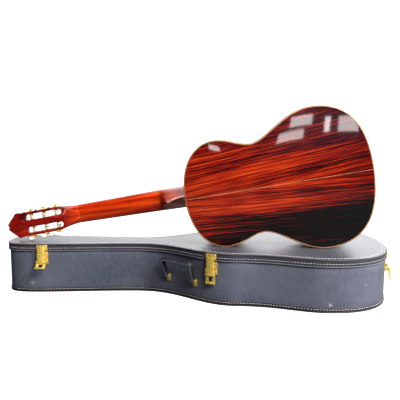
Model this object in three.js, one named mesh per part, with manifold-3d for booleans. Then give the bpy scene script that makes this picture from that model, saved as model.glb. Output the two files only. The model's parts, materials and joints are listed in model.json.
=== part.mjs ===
// A classical guitar lying on its side on top of its closed hard case, in millimetres.
// +X runs along the case towards the guitar's tail, -Y is the front with the handle and
// latches, +Z is up. The origin is the centre of the case's underside.
import * as THREE from "three";
import { mergeVertices } from "three/addons/utils/BufferGeometryUtils.js";
import Module from "manifold-3d";

const wasm = await Module();
wasm.setup();

const GAP = 0.3; // between pieces that touch

// ---- Driving sizes of the case ----
const CASE_LENGTH = 1016;
const CASE_HEIGHT = 132;
const CASE_HEAD = { x: -436, half: 62 };
const CASE_NECK = { x: -150, half: 44 };
const CASE_UPPER = { x: 112, half: 167 };
const CASE_LOWER = { x: 334, half: 214 };
const WALL = 6;
const PANEL = 5;
const PARTING_Z = 113; // top of the base's wall
const LID_OVERHANG = 4;
const LINING = 4;
const HINGE_HALF = 20;
const LID_AXIS_OUT = 8.3; // lid hinge axis, outside the base's wall

// ---- Driving sizes of the guitar ----
const BODY_LENGTH = 487;
const BODY_DEPTH = 95;
const UPPER_BOUT = { x: 94, half: 139.5 };
const WAIST = { x: 190, half: 116 };
const LOWER_BOUT = { x: 348, half: 183 };
const NECK_LENGTH = 320; // nut to body, half of the 640 mm scale
const HEAD_LENGTH = 188;
const HEAD_TILT = THREE.MathUtils.degToRad(14);
const HEAD_THICK = 18;
const NUT_HALF = 25.5;
const JOINT_HALF = 30;
const PLATE = 3; // back and soundboard
const RIB = 2.2;
const SOUNDHOLE = { x: 151, r: 42.5 };
const HEAD_HALF = 32.6;
const ROLLER_STEP = 33.5;
const FIRST_ROLLER = 54.5;
const GEAR_TEETH = 16;
const GEAR_R = 7.2;
const WORM_R = 2.7;
const THREAD_PITCH = (2 * Math.PI * GEAR_R) / GEAR_TEETH;

// ---- Where the guitar lies ----
const LIE_ANGLE = THREE.MathUtils.degToRad(10); // its centre line over the lid
const LIE_YAW = THREE.MathUtils.degToRad(-3.1);
const LIE_AT = { x: -22.5, y: -76 }; // neck end of the back's centre line

// ---- Finishes ----
const finish = (color, roughness, metalness = 0) =>
  new THREE.MeshStandardMaterial({ color, roughness, metalness });
const VINYL = finish(0x34353c, 0.55);
const PLUSH = finish(0x7a1420, 0.95);
const BRASS = finish(0xe0b040, 0.3, 1);
const GRIP = finish(0x2a2c33, 0.5);
const ROSEWOOD = finish(0x6a1c0c, 0.25);
const CEDAR = finish(0xc9803f, 0.35);
const MAHOGANY = finish(0xa2330f, 0.3);
const EBONY = finish(0x1b1310, 0.4);
const SPRUCE = finish(0xd8b178, 0.7);
const BONE = finish(0xeee4cc, 0.45);
const PEARL = finish(0xf2efe8, 0.25);
const NYLON = finish(0xe8e6dc, 0.3);
const WOUND = finish(0xb9b2a0, 0.35, 0.8);

// ---- Solids ----
function toManifold(geometry) {
  const bare = geometry.index ? geometry.toNonIndexed() : geometry.clone();
  for (const name of Object.keys(bare.attributes)) {
    if (name !== "position") bare.deleteAttribute(name);
  }
  const merged = mergeVertices(bare, 1e-3);
  return new wasm.Manifold(
    new wasm.Mesh({
      numProp: 3,
      vertProperties: merged.attributes.position.array,
      triVerts: new Uint32Array(merged.index.array),
    }),
  );
}

function toGeometry(manifold) {
  const mesh = manifold.getMesh();
  return new THREE.BufferGeometry()
    .setAttribute("position", new THREE.BufferAttribute(mesh.vertProperties, 3))
    .setIndex(new THREE.BufferAttribute(mesh.triVerts, 1));
}

const join = (...parts) =>
  toGeometry(parts.map(toManifold).reduce((a, b) => a.add(b)));

const cut = (body, ...tools) =>
  toGeometry(tools.map(toManifold).reduce((a, b) => a.subtract(b), toManifold(body)));

const keep = (body, region) =>
  toGeometry(toManifold(body).intersect(toManifold(region)));

function box(x0, x1, y0, y1, z0, z1) {
  return new THREE.BoxGeometry(x1 - x0, y1 - y0, z1 - z0).translate(
    (x0 + x1) / 2,
    (y0 + y1) / 2,
    (z0 + z1) / 2,
  );
}

function prismZ(points, z0, z1, holes = []) {
  const shape = new THREE.Shape(
    THREE.ShapeUtils.isClockWise(points) ? points.toReversed() : points,
  );
  shape.holes = holes.map((h) => new THREE.Path(h));
  return new THREE.ExtrudeGeometry(shape, {
    depth: z1 - z0,
    bevelEnabled: false,
  }).translate(0, 0, z0);
}

// A prism of an outline in X and Z, between two heights in Y.
const prismY = (points, y0, y1, holes = []) =>
  prismZ(points, 0, y1 - y0, holes).rotateX(Math.PI / 2).translate(0, y1, 0);

const rodX = (r, x0, x1, y = 0, z = 0, sides = 12) =>
  new THREE.CylinderGeometry(r, r, x1 - x0, sides)
    .rotateZ(Math.PI / 2)
    .translate((x0 + x1) / 2, y, z);

const rodZ = (r, z0, z1, x = 0, y = 0, sides = 12) =>
  new THREE.CylinderGeometry(r, r, z1 - z0, sides)
    .rotateX(Math.PI / 2)
    .translate(x, y, (z0 + z1) / 2);

// A closed solid through rings of points that all have the same count.
function loft(rings) {
  const count = rings[0].length;
  const position = rings.flat().flatMap((p) => [p.x, p.y, p.z]);
  const index = [];
  for (let r = 0; r + 1 < rings.length; r++) {
    for (let i = 0; i < count; i++) {
      const a = r * count + i;
      const b = r * count + ((i + 1) % count);
      index.push(a, b, a + count, b, b + count, a + count);
    }
  }
  const last = (rings.length - 1) * count;
  for (let i = 1; i + 1 < count; i++) {
    index.push(0, i + 1, i, last, last + i, last + i + 1);
  }
  const flat = rings.flat();
  let volume = 0;
  for (let t = 0; t < index.length; t += 3) {
    const [a, b, c] = [flat[index[t]], flat[index[t + 1]], flat[index[t + 2]]];
    volume += a.dot(new THREE.Vector3().crossVectors(b, c));
  }
  if (volume < 0) index.reverse();
  return new THREE.BufferGeometry()
    .setAttribute("position", new THREE.Float32BufferAttribute(position, 3))
    .setIndex(index);
}

// A round tube along straight stretches, its rings square to the mean direction.
function tube(points, radius, sides = 6) {
  const side = new THREE.Vector3(0, 0, 1);
  return loft(
    points.map((p, i) => {
      const before = points[Math.max(i - 1, 0)];
      const after = points[Math.min(i + 1, points.length - 1)];
      const along = after.clone().sub(before).normalize();
      const up = new THREE.Vector3().crossVectors(side, along).normalize();
      const across = new THREE.Vector3().crossVectors(along, up);
      return Array.from({ length: sides }, (_, k) => {
        const turn = (2 * Math.PI * k) / sides;
        return p
          .clone()
          .addScaledVector(up, radius * Math.cos(turn))
          .addScaledVector(across, radius * Math.sin(turn));
      });
    }),
  );
}

// ---- Outlines ----
// Half of a symmetric outline from its left end to its right end, then mirrored.
function symmetric(start, curves, divisions) {
  const path = new THREE.Path();
  path.moveTo(...start);
  for (const curve of curves) path.bezierCurveTo(...curve);
  const half = path.getPoints(divisions);
  const back = half.slice(1, -1).reverse();
  return [...half, ...back.map((p) => new THREE.Vector2(p.x, -p.y))];
}

function grow(outline, distance) {
  return outline.map((p, i) => {
    const before = outline[(i + outline.length - 1) % outline.length];
    const after = outline[(i + 1) % outline.length];
    const along = after.clone().sub(before).normalize();
    return new THREE.Vector2(p.x - along.y * distance, p.y + along.x * distance);
  });
}

function caseOutline() {
  const end = CASE_LENGTH / 2;
  const { x: hx, half: hw } = CASE_HEAD;
  const { x: nx, half: nw } = CASE_NECK;
  const { x: ux, half: uw } = CASE_UPPER;
  const { x: lx, half: lw } = CASE_LOWER;
  const curves = [
    [-end, 47, hx - 50, hw, hx, hw],
    [hx + 72, hw, nx - 90, nw, nx, nw],
    [nx + 118, nw, ux - 100, uw, ux, uw],
    [ux + 101, uw, lx - 73, lw, lx, lw],
    [lx + 104, lw, end, 150, end, 0],
  ];
  return symmetric([-end, 0], curves, 12);
}

function bodyOutline() {
  const curves = [
    [0, 98, UPPER_BOUT.x - 44, UPPER_BOUT.half, UPPER_BOUT.x, UPPER_BOUT.half],
    [UPPER_BOUT.x + 40, UPPER_BOUT.half, WAIST.x - 29, WAIST.half, WAIST.x, WAIST.half],
    [WAIST.x + 39, WAIST.half, LOWER_BOUT.x - 62, LOWER_BOUT.half, LOWER_BOUT.x, LOWER_BOUT.half],
    [LOWER_BOUT.x + 92, LOWER_BOUT.half, BODY_LENGTH, 124, BODY_LENGTH, 0],
  ];
  return symmetric([0, 0], curves, 10);
}

const OUTLINE = caseOutline();
const BODY = bodyOutline();

// ---- Assembly ----
const root = new THREE.Group();

function add(group, name, geometry, material) {
  const mesh = new THREE.Mesh(geometry, material);
  mesh.name = name;
  group.add(mesh);
  return mesh;
}

// A frame on the case's wall, at the middle of the facet nearest a point: X runs along the
// wall, +Y points out of the case, Z is up.
function wallFrame(near) {
  const middles = OUTLINE.map((p, i) => {
    const next = OUTLINE[(i + 1) % OUTLINE.length];
    return { middle: p.clone().add(next).multiplyScalar(0.5), along: next.clone().sub(p).normalize() };
  });
  middles.sort((a, b) => a.middle.distanceTo(near) - b.middle.distanceTo(near));
  const { middle, along } = middles[0];
  const frame = new THREE.Group();
  const foot = middle.clone().addScaledVector(along, near.clone().sub(middle).dot(along));
  frame.position.set(foot.x, foot.y, 0);
  frame.rotation.z = Math.atan2(along.y, along.x);
  root.add(frame);
  return frame;
}

// ---- Case: shells and linings ----
function caseShells() {
  add(root, "case_bottom_panel", prismZ(grow(OUTLINE, -WALL - GAP), 0, PANEL), VINYL);
  add(root, "case_side_wall", prismZ(OUTLINE, 0, PARTING_Z, [grow(OUTLINE, -WALL)]), VINYL);
  const rim = grow(OUTLINE, LID_OVERHANG);
  const rimHole = grow(OUTLINE, LID_OVERHANG - WALL);
  add(root, "case_lid_rim", prismZ(rim, PARTING_Z + 0.5, CASE_HEIGHT, [rimHole]), VINYL);
  const lidInside = grow(rimHole, -GAP);
  add(root, "case_lid_panel", prismZ(lidInside, CASE_HEIGHT - PANEL, CASE_HEIGHT), VINYL);
  const liningTop = CASE_HEIGHT - PANEL - GAP;
  add(root, "lid_lining", prismZ(lidInside, liningTop - LINING, liningTop), PLUSH);
}

const LINING_FLOOR = PANEL + GAP + LINING;

function baseLining() {
  const outer = prismZ(grow(OUTLINE, -WALL - GAP), PANEL + GAP, PARTING_Z - 2);
  const hollow = prismZ(grow(OUTLINE, -WALL - GAP - LINING), LINING_FLOOR, PARTING_Z);
  add(root, "base_lining", cut(outer, hollow), PLUSH);
}

// ---- Case: neck cradle with its small compartment and lid ----
const BIN = { x0: -245, x1: -105, half: 31, top: 46, wall: 4 };
const CRADLE_END = -80;

function neckCradle() {
  const floor = LINING_FLOOR + GAP;
  const bin = box(BIN.x0, BIN.x1, -BIN.half, BIN.half, floor, BIN.top);
  const rest = box(BIN.x1, CRADLE_END, -BIN.half, BIN.half, floor, 92);
  const hollow = box(
    BIN.x0 + BIN.wall,
    BIN.x1 - BIN.wall,
    BIN.wall - BIN.half,
    BIN.half - BIN.wall,
    floor + BIN.wall,
    BIN.top + 1,
  );
  const neckSeat = rodX(27, BIN.x1 - 5, CRADLE_END + 5, 0, 103, 20);
  add(root, "neck_cradle", cut(join(bin, rest), hollow, neckSeat), PLUSH);
}

function compartmentLid() {
  const axis = new THREE.Group();
  axis.position.set((BIN.x0 + BIN.x1) / 2, BIN.half - 3, BIN.top + GAP);
  root.add(axis);
  const halfLength = (BIN.x1 - BIN.x0) / 2 - 1;
  const lid = box(-halfLength, halfLength, 4 - 2 * BIN.half, 0, 0, LINING);
  add(axis, "compartment_lid", lid, PLUSH);
}

// ---- Case: handle ----
const HANDLE_PIVOT = { span: 89, out: 9, z: 53 };
const HANDLE_AT = { x: -29.5, y: -94.85, angle: THREE.MathUtils.degToRad(143.6) };
const HANDLE_LEAN = THREE.MathUtils.degToRad(18);
const LEG_HALF = 4.4;

function handle() {
  const wall = new THREE.Group();
  wall.position.set(HANDLE_AT.x, HANDLE_AT.y, HANDLE_PIVOT.z);
  wall.rotation.z = HANDLE_AT.angle;
  root.add(wall);
  const half = HANDLE_PIVOT.span / 2;
  for (const [side, name] of [[-1, "handle_post_right"], [1, "handle_post_left"]]) {
    const near = LEG_HALF + 0.5;
    const far = near + 1.6;
    const plate = box(-far, far, 0.25, 2, -15, 4);
    const lug = box(near, far, 0.25, HANDLE_PIVOT.out + 3.2, -4, 4);
    const otherLug = box(-far, -near, 0.25, HANDLE_PIVOT.out + 3.2, -4, 4);
    const pin = rodX(2.2, -far, far, HANDLE_PIVOT.out);
    const post = join(plate, lug, otherLug, pin);
    post.translate(side * half, 0, 0);
    add(wall, name, post, BRASS);
  }
  const pivot = new THREE.Group();
  pivot.position.set(0, HANDLE_PIVOT.out, 0);
  pivot.rotation.x = -HANDLE_LEAN;
  wall.add(pivot);
  const rightHalf = [
    [half - LEG_HALF, -5],
    [half - LEG_HALF, 10],
    [half - 3, 40],
    [half - 7, 44.5],
  ];
  const outerRight = [
    [half + 4.5, 55],
    [half + 7.5, 50],
    [half + LEG_HALF, 10],
    [half + LEG_HALF, -5],
  ];
  const corners = [
    ...rightHalf.map(([x, z]) => [-x, z]),
    ...rightHalf.toReversed(),
    ...outerRight.toReversed(),
    ...outerRight.map(([x, z]) => [-x, z]),
  ];
  const loop = prismY(corners.map(([x, z]) => new THREE.Vector2(x, z)), -4, 4);
  const hole = rodX(2.7, -half - 10, half + 10);
  add(pivot, "handle", cut(loop, hole), GRIP);
}

// ---- Case: latches ----
const LATCH = { lidFace: LID_OVERHANG + GAP, leverZ: 86, leverOut: 6, linkZ: 77, linkOut: 10.9 };

function latch(number, near, open) {
  const wall = wallFrame(near);
  const { lidFace, leverZ, leverOut, linkZ, linkOut } = LATCH;

  const catchPlate = box(-14.5, 14.5, lidFace, lidFace + 1.2, 114.5, 130.5);
  const lip = box(-9, 9, lidFace, 9, 117, 120);
  add(wall, `latch_${number}_catch`, join(catchPlate, lip), BRASS);

  const plate = box(-15.5, 15.5, 0.4, 1.6, 78, 111.5);
  const ear = box(13.6, 15.2, 0.4, leverOut + 2.6, leverZ - 5, leverZ + 5);
  const otherEar = box(-15.2, -13.6, 0.4, leverOut + 2.6, leverZ - 5, leverZ + 5);
  const leverPin = rodX(1.3, -15.2, 15.2, leverOut, leverZ);
  add(wall, `latch_${number}_base_plate`, join(plate, ear, otherEar, leverPin), BRASS);

  const leverAxis = new THREE.Group();
  leverAxis.position.set(0, leverOut, leverZ);
  leverAxis.rotation.x = THREE.MathUtils.degToRad(open);
  wall.add(leverAxis);
  const barrel = rodX(2.6, -13, 13);
  const blade = box(-13, 13, 1, 2.4, -30, 0);
  const tab = box(-13, 13, 2.4, 5, -32, -29).translate(0, -0.4, 0);
  const cheek = box(10.8, 12.4, 2, linkOut - leverOut + 2.2, -12, -6);
  const otherCheek = box(-12.4, -10.8, 2, linkOut - leverOut + 2.2, -12, -6);
  const pinHole = rodX(1.7, -16, 16);
  const window = box(-5, 5, -2, 6, -26, -14);
  const linkHole = rodX(1.4, -16, 16, linkOut - leverOut, linkZ - leverZ);
  const lever = cut(join(barrel, blade, tab, cheek, otherCheek), pinHole, window, linkHole);
  add(leverAxis, `latch_${number}_lever`, lever, BRASS);

  const linkAxis = new THREE.Group();
  linkAxis.position.set(0, linkOut - leverOut, linkZ - leverZ);
  linkAxis.rotation.x = -leverAxis.rotation.x;
  leverAxis.add(linkAxis);
  const linkBarrel = rodX(2.1, -10.2, 10.2);
  const linkPin = rodX(1, -12.4, 12.4);
  const strap = box(-9.5, 9.5, -0.7, 0.7, 0, 44);
  add(linkAxis, `latch_${number}_link`, join(linkBarrel, linkPin, strap), BRASS);
}

// ---- Case: lid hinges on the line that touches the head end and the lower bout ----
function hingeLine() {
  let angle = 0.2;
  let ends = [];
  for (let pass = 0; pass < 5; pass++) {
    const out = new THREE.Vector2(-Math.sin(angle), Math.cos(angle));
    ends = [(p) => p.x < -300, (p) => p.x > 200].map((region) =>
      OUTLINE.filter(region).reduce((a, b) => (b.dot(out) > a.dot(out) ? b : a)),
    );
    angle = Math.atan2(ends[1].y - ends[0].y, ends[1].x - ends[0].x);
  }
  return { ends, angle };
}

function lidHinges() {
  const { ends, angle } = hingeLine();
  ends.forEach((end, i) => {
    const frame = new THREE.Group();
    frame.position.set(end.x, end.y, 0);
    frame.rotation.z = angle;
    root.add(frame);
    const z = PARTING_Z + 0.2;
    const leaf = box(-HINGE_HALF, HINGE_HALF, 0.4, 1.6, 90, PARTING_Z - 1);
    const web = box(-HINGE_HALF, -GAP, 0.4, LID_AXIS_OUT, PARTING_Z - 4, PARTING_Z - GAP);
    const knuckle = rodX(3, -HINGE_HALF, -GAP, LID_AXIS_OUT, z);
    const pin = rodX(1.3, -GAP - 1, HINGE_HALF, LID_AXIS_OUT, z);
    add(frame, `hinge_${i + 1}_base_leaf`, join(leaf, web, knuckle, pin), BRASS);

    const face = LID_OVERHANG + GAP;
    const plate = box(-HINGE_HALF, HINGE_HALF, face, face + 1.2, z + 4, 130);
    const tongue = box(GAP, HINGE_HALF, face, face + 1.4, z, z + 5);
    const barrel = rodX(3, GAP, HINGE_HALF, LID_AXIS_OUT, z);
    const bore = rodX(1.7, -1, HINGE_HALF + 1, LID_AXIS_OUT, z);
    add(frame, `hinge_${i + 1}_lid_leaf`, cut(join(plate, tongue, barrel), bore), BRASS);
  });
}

const FOOT_HALF = 8.5; // the part of the neck that passes between the ribs

// ---- Guitar: its own frame has X from the neck joint to the tail, Y from the back plate to
// the strings and Z across. It lies on its side on the lid. ----
const guitar = new THREE.Group();
const lowest = Math.min(
  ...BODY.map((p) => p.x * Math.sin(LIE_ANGLE) + p.y * Math.cos(LIE_ANGLE)),
);
guitar.rotation.set(0, -LIE_ANGLE, LIE_YAW, "ZYX");
guitar.position.set(LIE_AT.x, LIE_AT.y, CASE_HEIGHT + GAP - lowest);
root.add(guitar);

function soundbox() {
  add(guitar, "back_plate", prismY(BODY, 0, PLATE), ROSEWOOD);
  const hole = new THREE.Path().absarc(SOUNDHOLE.x, 0, SOUNDHOLE.r, 0, 2 * Math.PI).getPoints(24);
  const top = prismY(BODY, BODY_DEPTH - PLATE, BODY_DEPTH, [hole.slice(0, -1)]);
  add(guitar, "soundboard", top, CEDAR);
  const loop = prismY(BODY, PLATE + GAP, BODY_DEPTH - PLATE - GAP, [grow(BODY, -RIB)]);
  const ring = cut(loop, box(-5, 6, -5, 100, -FOOT_HALF - GAP, FOOT_HALF + GAP));
  const far = BODY_LENGTH + 5;
  add(guitar, "rib_treble", keep(ring, box(-5, far, -5, 100, GAP / 2, 200)), ROSEWOOD);
  add(guitar, "rib_bass", keep(ring, box(-5, far, -5, 100, -200, -GAP / 2)), ROSEWOOD);
}

function bracing() {
  const top = BODY_DEPTH - PLATE - GAP;
  const bars = [
    box(84, 90, top - 16, top, -118, 118),
    box(203, 209, top - 16, top, -104, 104),
    box(88, 205, top - 5, top, 50, 55),
    box(88, 205, top - 5, top, -55, -50),
  ];
  for (let k = -3; k <= 3; k++) {
    const fan = box(0, 222, top - 4, top, -2, 2).rotateY(-k * 0.1);
    bars.push(fan.translate(206, 0, k * 14));
  }
  add(guitar, "top_braces", join(...bars), SPRUCE);
  const tail = box(468, 482.5, PLATE + 2 * GAP, top, -34, 34);
  add(guitar, "tail_block", tail, SPRUCE);
}

// Half-width of the neck's section, from the fingerboard edge at depth 0 to its crown at 1.
function neckRing(x, top, depth, crownHalf, fullness) {
  const half = THREE.MathUtils.lerp(JOINT_HALF, NUT_HALF, -x / NECK_LENGTH);
  const right = [0, 0.2, 0.45, 0.7, 0.9, 1].map((t) => {
    const z = crownHalf + (half - crownHalf) * (1 - t * t) ** fullness;
    return new THREE.Vector3(x, top - depth * t, z);
  });
  const left = right.toReversed().map((p) => new THREE.Vector3(p.x, p.y, -p.z));
  return [...right, ...left];
}

function headOutline() {
  const right = [
    [0, NUT_HALF],
    [-9, NUT_HALF + 0.8],
    [-22, NUT_HALF + 2.6],
    [-34, NUT_HALF + 5],
    [-46, HEAD_HALF - 0.4],
    [-54, HEAD_HALF],
    [-146, HEAD_HALF],
    [-163, HEAD_HALF + 1.9],
    [-HEAD_LENGTH, 7],
    [-HEAD_LENGTH + 2, 3],
  ];
  const corners = [...right, ...right.toReversed().map(([x, z]) => [x, -z])];
  return corners.map(([x, z]) => new THREE.Vector2(x, z));
}

const HEAD_SLOT = { x0: -41, x1: -137.5, z: 17.6, half: 8 };

function headSlot(side, start) {
  const { x1, z, half } = HEAD_SLOT;
  const slot = new THREE.Path();
  slot.absarc(x1 + half, side * z, half, Math.PI / 2, (3 * Math.PI) / 2, false);
  slot.absarc(start - half, side * z, half, -Math.PI / 2, Math.PI / 2, false);
  return slot.getPoints(8);
}

const rollerX = (k) => -FIRST_ROLLER - k * ROLLER_STEP;
const ROLLER_Y = -HEAD_THICK / 2;

function neck() {
  const heelStart = -80;
  const heelEnd = -40;
  const stations = [-NECK_LENGTH, -300, -210, heelStart, -72, -64, -56, -48, heelEnd, -20, -GAP];
  const rings = stations.map((x) => {
    const heel = THREE.MathUtils.smoothstep(x, heelStart, heelEnd);
    const depth = THREE.MathUtils.lerp(21, BODY_DEPTH - PLATE - GAP, heel);
    const cap = x > heelEnd ? 9 * Math.sqrt((x - heelEnd) / -heelEnd) : 0;
    return neckRing(x, BODY_DEPTH, depth, cap + 0.4, 0.5 + 1.3 * heel);
  });
  const shaft = loft(rings);
  const slotted = prismY(headOutline(), -HEAD_THICK, 0, [
    headSlot(1, HEAD_SLOT.x0),
    headSlot(-1, HEAD_SLOT.x0),
  ]);
  const holes = [0, 1, 2].flatMap((k) => [
    rodZ(3.7, 3, 40, rollerX(k), ROLLER_Y),
    rodZ(3.7, -40, -3, rollerX(k), ROLLER_Y),
  ]);
  const ramps = [1, -1].map((side) =>
    prismZ(
      [new THREE.Vector2(-30, 1), new THREE.Vector2(-52, 1), new THREE.Vector2(-52, -8.5)],
      side * HEAD_SLOT.z - 7.8,
      side * HEAD_SLOT.z + 7.8,
    ),
  );
  // The head's face starts a little below the neck's, so the veneer ends level with it.
  const tilted = cut(slotted, ...holes, ...ramps)
    .rotateZ(HEAD_TILT)
    .translate(-NECK_LENGTH, BODY_DEPTH - 3, 0);
  const splice = box(-NECK_LENGTH - 2, -NECK_LENGTH + 3, 77, BODY_DEPTH - 3.2, -20, 20);
  const inside = [PLATE + 2 * GAP, BODY_DEPTH - PLATE - GAP];
  const foot = box(-5, 10, ...inside, -FOOT_HALF, FOOT_HALF);
  const block = box(5, 45, ...inside, -32, 32);
  add(guitar, "neck", join(shaft, tilted, splice, foot, block), MAHOGANY);
}

const head = new THREE.Group();
head.position.set(-NECK_LENGTH, BODY_DEPTH - 3, 0);
head.rotation.z = HEAD_TILT;
guitar.add(head);

function headVeneer() {
  const front = prismY(headOutline(), GAP, 2, [headSlot(1, -26), headSlot(-1, -26)]);
  const trimmed = cut(front, box(-0.6, 5, -5, 10, -60, 60));
  add(head, "head_veneer", trimmed, ROSEWOOD);
}

function heelCap() {
  const edge = new THREE.Path();
  edge.moveTo(-40, 0);
  edge.quadraticCurveTo(-24, 9, -GAP, 9.5);
  const right = edge.getPoints(5);
  const outline = [...right, ...right.slice(1).toReversed().map((p) => new THREE.Vector2(p.x, -p.y))];
  add(guitar, "heel_cap", prismY(outline, 0, PLATE - 0.2), ROSEWOOD);
}

const BOARD_START = -NECK_LENGTH + 5.3;
const BOARD_END = SOUNDHOLE.x - SOUNDHOLE.r;
const BOARD_TOP = BODY_DEPTH + GAP + 6;

function fingerboard() {
  const halfAt = (x) => NUT_HALF + ((JOINT_HALF - NUT_HALF) * (x + NECK_LENGTH)) / NECK_LENGTH;
  const outline = [
    [BOARD_START, halfAt(BOARD_START)],
    [BOARD_END, halfAt(BOARD_END)],
    [BOARD_END, -halfAt(BOARD_END)],
    [BOARD_START, -halfAt(BOARD_START)],
  ].map(([x, z]) => new THREE.Vector2(x, z));
  const board = prismY(outline, BODY_DEPTH + GAP, BOARD_TOP);
  const frets = [];
  for (let n = 1; n <= 19; n++) {
    const x = -NECK_LENGTH + 2 * NECK_LENGTH * (1 - 2 ** (-n / 12));
    const half = halfAt(x) - 0.5;
    frets.push(box(x - 1, x + 1, BOARD_TOP - 0.5, BOARD_TOP + 1, -half, half));
  }
  add(guitar, "fingerboard", join(board, ...frets), EBONY);
  const nut = box(-NECK_LENGTH, -NECK_LENGTH + 5, BODY_DEPTH + GAP, BOARD_TOP + 2, -NUT_HALF, NUT_HALF);
  add(guitar, "nut", nut, BONE);
}

const SADDLE_X = NECK_LENGTH + 2;
const BRIDGE_FACE = BODY_DEPTH + GAP;

function bridge() {
  const wings = box(SADDLE_X - 11, SADDLE_X + 17, BRIDGE_FACE, BRIDGE_FACE + 3.5, -95, 95);
  const middle = box(SADDLE_X - 11, SADDLE_X + 17, BRIDGE_FACE, BRIDGE_FACE + 8, -42, 42);
  const dip = box(SADDLE_X + 2.2, SADDLE_X + 6, BRIDGE_FACE + 4, 120, -60, 60);
  const slot = box(SADDLE_X - 1.3, SADDLE_X + 1.3, BRIDGE_FACE + 2.5, 120, -40.4, 40.4);
  add(guitar, "bridge", cut(join(wings, middle), dip, slot), ROSEWOOD);
  const saddle = box(SADDLE_X - 1, SADDLE_X + 1, BRIDGE_FACE + 2.8, BRIDGE_FACE + 11.2, -40, 40);
  add(guitar, "saddle", saddle, BONE);
}

// A point of the head's own frame, in the guitar's frame.
const fromHead = (x, y, z) =>
  new THREE.Vector3(x, y, z).applyAxisAngle(new THREE.Vector3(0, 0, 1), HEAD_TILT).add(head.position);

function strings() {
  const names = ["string_1_e", "string_2_b", "string_3_g", "string_4_d", "string_5_a", "string_6_e"];
  const radii = [0.36, 0.41, 0.51, 0.37, 0.44, 0.54];
  names.forEach((name, i) => {
    const r = radii[i];
    const place = 2.5 - i; // from the centre line, in string spacings
    const side = Math.sign(place);
    const along = i < 3 ? i : 5 - i; // which roller, counted from the nut
    const rollerZ = side * [21.5, 18.5, 15.5][along];
    const atSaddle = BRIDGE_FACE + 11.2 + GAP + r;
    const atNut = BOARD_TOP + 2 + GAP + r;
    const points = [
      new THREE.Vector3(SADDLE_X + 5.6, BRIDGE_FACE + 6, place * 11.6),
      new THREE.Vector3(SADDLE_X + 1.6, atSaddle, place * 11.6),
      new THREE.Vector3(SADDLE_X - 0.8, atSaddle, place * 11.6),
      new THREE.Vector3(-NECK_LENGTH + 4, atNut, place * 8.6),
      new THREE.Vector3(-NECK_LENGTH - 0.4, atNut, place * 8.6),
      fromHead(rollerX(along) + 2, ROLLER_Y + 5 + GAP + r + 0.2, rollerZ),
    ];
    add(guitar, name, tube(points, r), i < 3 ? NYLON : WOUND);
  });
}

// ---- Guitar: tuning machines ----
const SIDE_Z = HEAD_HALF + GAP;
const MACHINE_Z = SIDE_Z + 5.2; // middle of the gears and worms
const wormX = (k) => rollerX(k) - GEAR_R - WORM_R;

function gearOutline() {
  const step = (2 * Math.PI) / GEAR_TEETH;
  const tooth = [
    [6.2, -0.75],
    [7.95, -0.3],
    [7.95, 0.3],
    [6.2, 0.75],
  ];
  const points = [];
  for (let n = 0; n < GEAR_TEETH; n++) {
    for (const [r, across] of tooth) {
      const turn = n * step + across / r;
      points.push(new THREE.Vector2(r * Math.cos(turn), r * Math.sin(turn)));
    }
  }
  return points;
}

function roller() {
  const profile = [
    [0, 4],
    [3, 4],
    [3, 9.8],
    [5, 10.2],
    [5, 25],
    [3, 25.4],
    [3, MACHINE_Z + 1.4],
    [0, MACHINE_Z + 1.4],
  ].map(([r, z]) => new THREE.Vector2(r, z));
  const core = new THREE.LatheGeometry(profile, 10).rotateX(Math.PI / 2);
  const wheel = prismZ(gearOutline(), MACHINE_Z - 1.1, MACHINE_Z + 1.1);
  return join(core, wheel);
}

// The worm's thread is in the gap between two teeth when the gear's first tooth points at it.
function wormAndButton() {
  const steps = 10;
  const turns = 3;
  const rings = [];
  for (let i = 0; i <= steps * turns; i++) {
    const y = THREAD_PITCH * (i / steps - turns / 2);
    const turn = (2 * Math.PI * y) / THREAD_PITCH - Math.PI;
    const section = [
      [1.2, -0.75],
      [1.2, 0.75],
      [3.3, 0.28],
      [3.3, -0.28],
    ];
    rings.push(
      section.map(([r, dy]) => new THREE.Vector3(r * Math.cos(turn), y + dy, -r * Math.sin(turn))),
    );
  }
  const thread = loft(rings);
  const shaft = new THREE.CylinderGeometry(1.6, 1.6, 32, 10).translate(0, -8, 0);
  const knob = [
    [0, -37],
    [4.4, -36.2],
    [7.2, -33],
    [7.7, -28.5],
    [7.2, -23],
    [4.8, -17.5],
    [2.6, -13.5],
    [0, -13.5],
  ].map(([r, y]) => new THREE.Vector2(r, y));
  const button = new THREE.LatheGeometry(knob, 12).scale(1, 1, 0.6);
  return join(thread, shaft, button);
}

function tunerPlate(side) {
  const plate = box(-142, -46, -HEAD_THICK + 2, -2, SIDE_Z, SIDE_Z + 1.2);
  const tabs = [];
  for (let k = 0; k < 3; k++) {
    for (const y of [-HEAD_THICK / 2 - 6, -HEAD_THICK / 2 + 6]) {
      const tab = box(wormX(k) - 3, wormX(k) + 3, y - 0.7, y + 0.7, SIDE_Z, MACHINE_Z + 3);
      tabs.push(tab);
    }
  }
  const bores = [0, 1, 2].map((k) =>
    new THREE.CylinderGeometry(2, 2, 40, 10).translate(wormX(k), ROLLER_Y, MACHINE_Z),
  );
  const shafts = [0, 1, 2].map((k) => rodZ(3.6, 30, 50, rollerX(k), ROLLER_Y));
  const made = cut(join(plate, ...tabs), ...bores, ...shafts);
  if (side < 0) made.rotateX(Math.PI).translate(0, -HEAD_THICK, 0);
  return made;
}

function tuners() {
  for (const [side, label] of [[1, "treble"], [-1, "bass"]]) {
    add(head, `tuner_plate_${label}`, tunerPlate(side), BRASS);
    for (let k = 0; k < 3; k++) {
      const turned = roller();
      if (side < 0) turned.rotateX(Math.PI);
      const spool = add(head, `tuner_roller_${label}_${k + 1}`, turned, BONE);
      spool.position.set(rollerX(k), ROLLER_Y, 0);
      const knob = add(head, `tuner_button_${label}_${k + 1}`, wormAndButton(), PEARL);
      knob.position.set(wormX(k), ROLLER_Y, side * MACHINE_Z);
    }
  }
}

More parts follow.
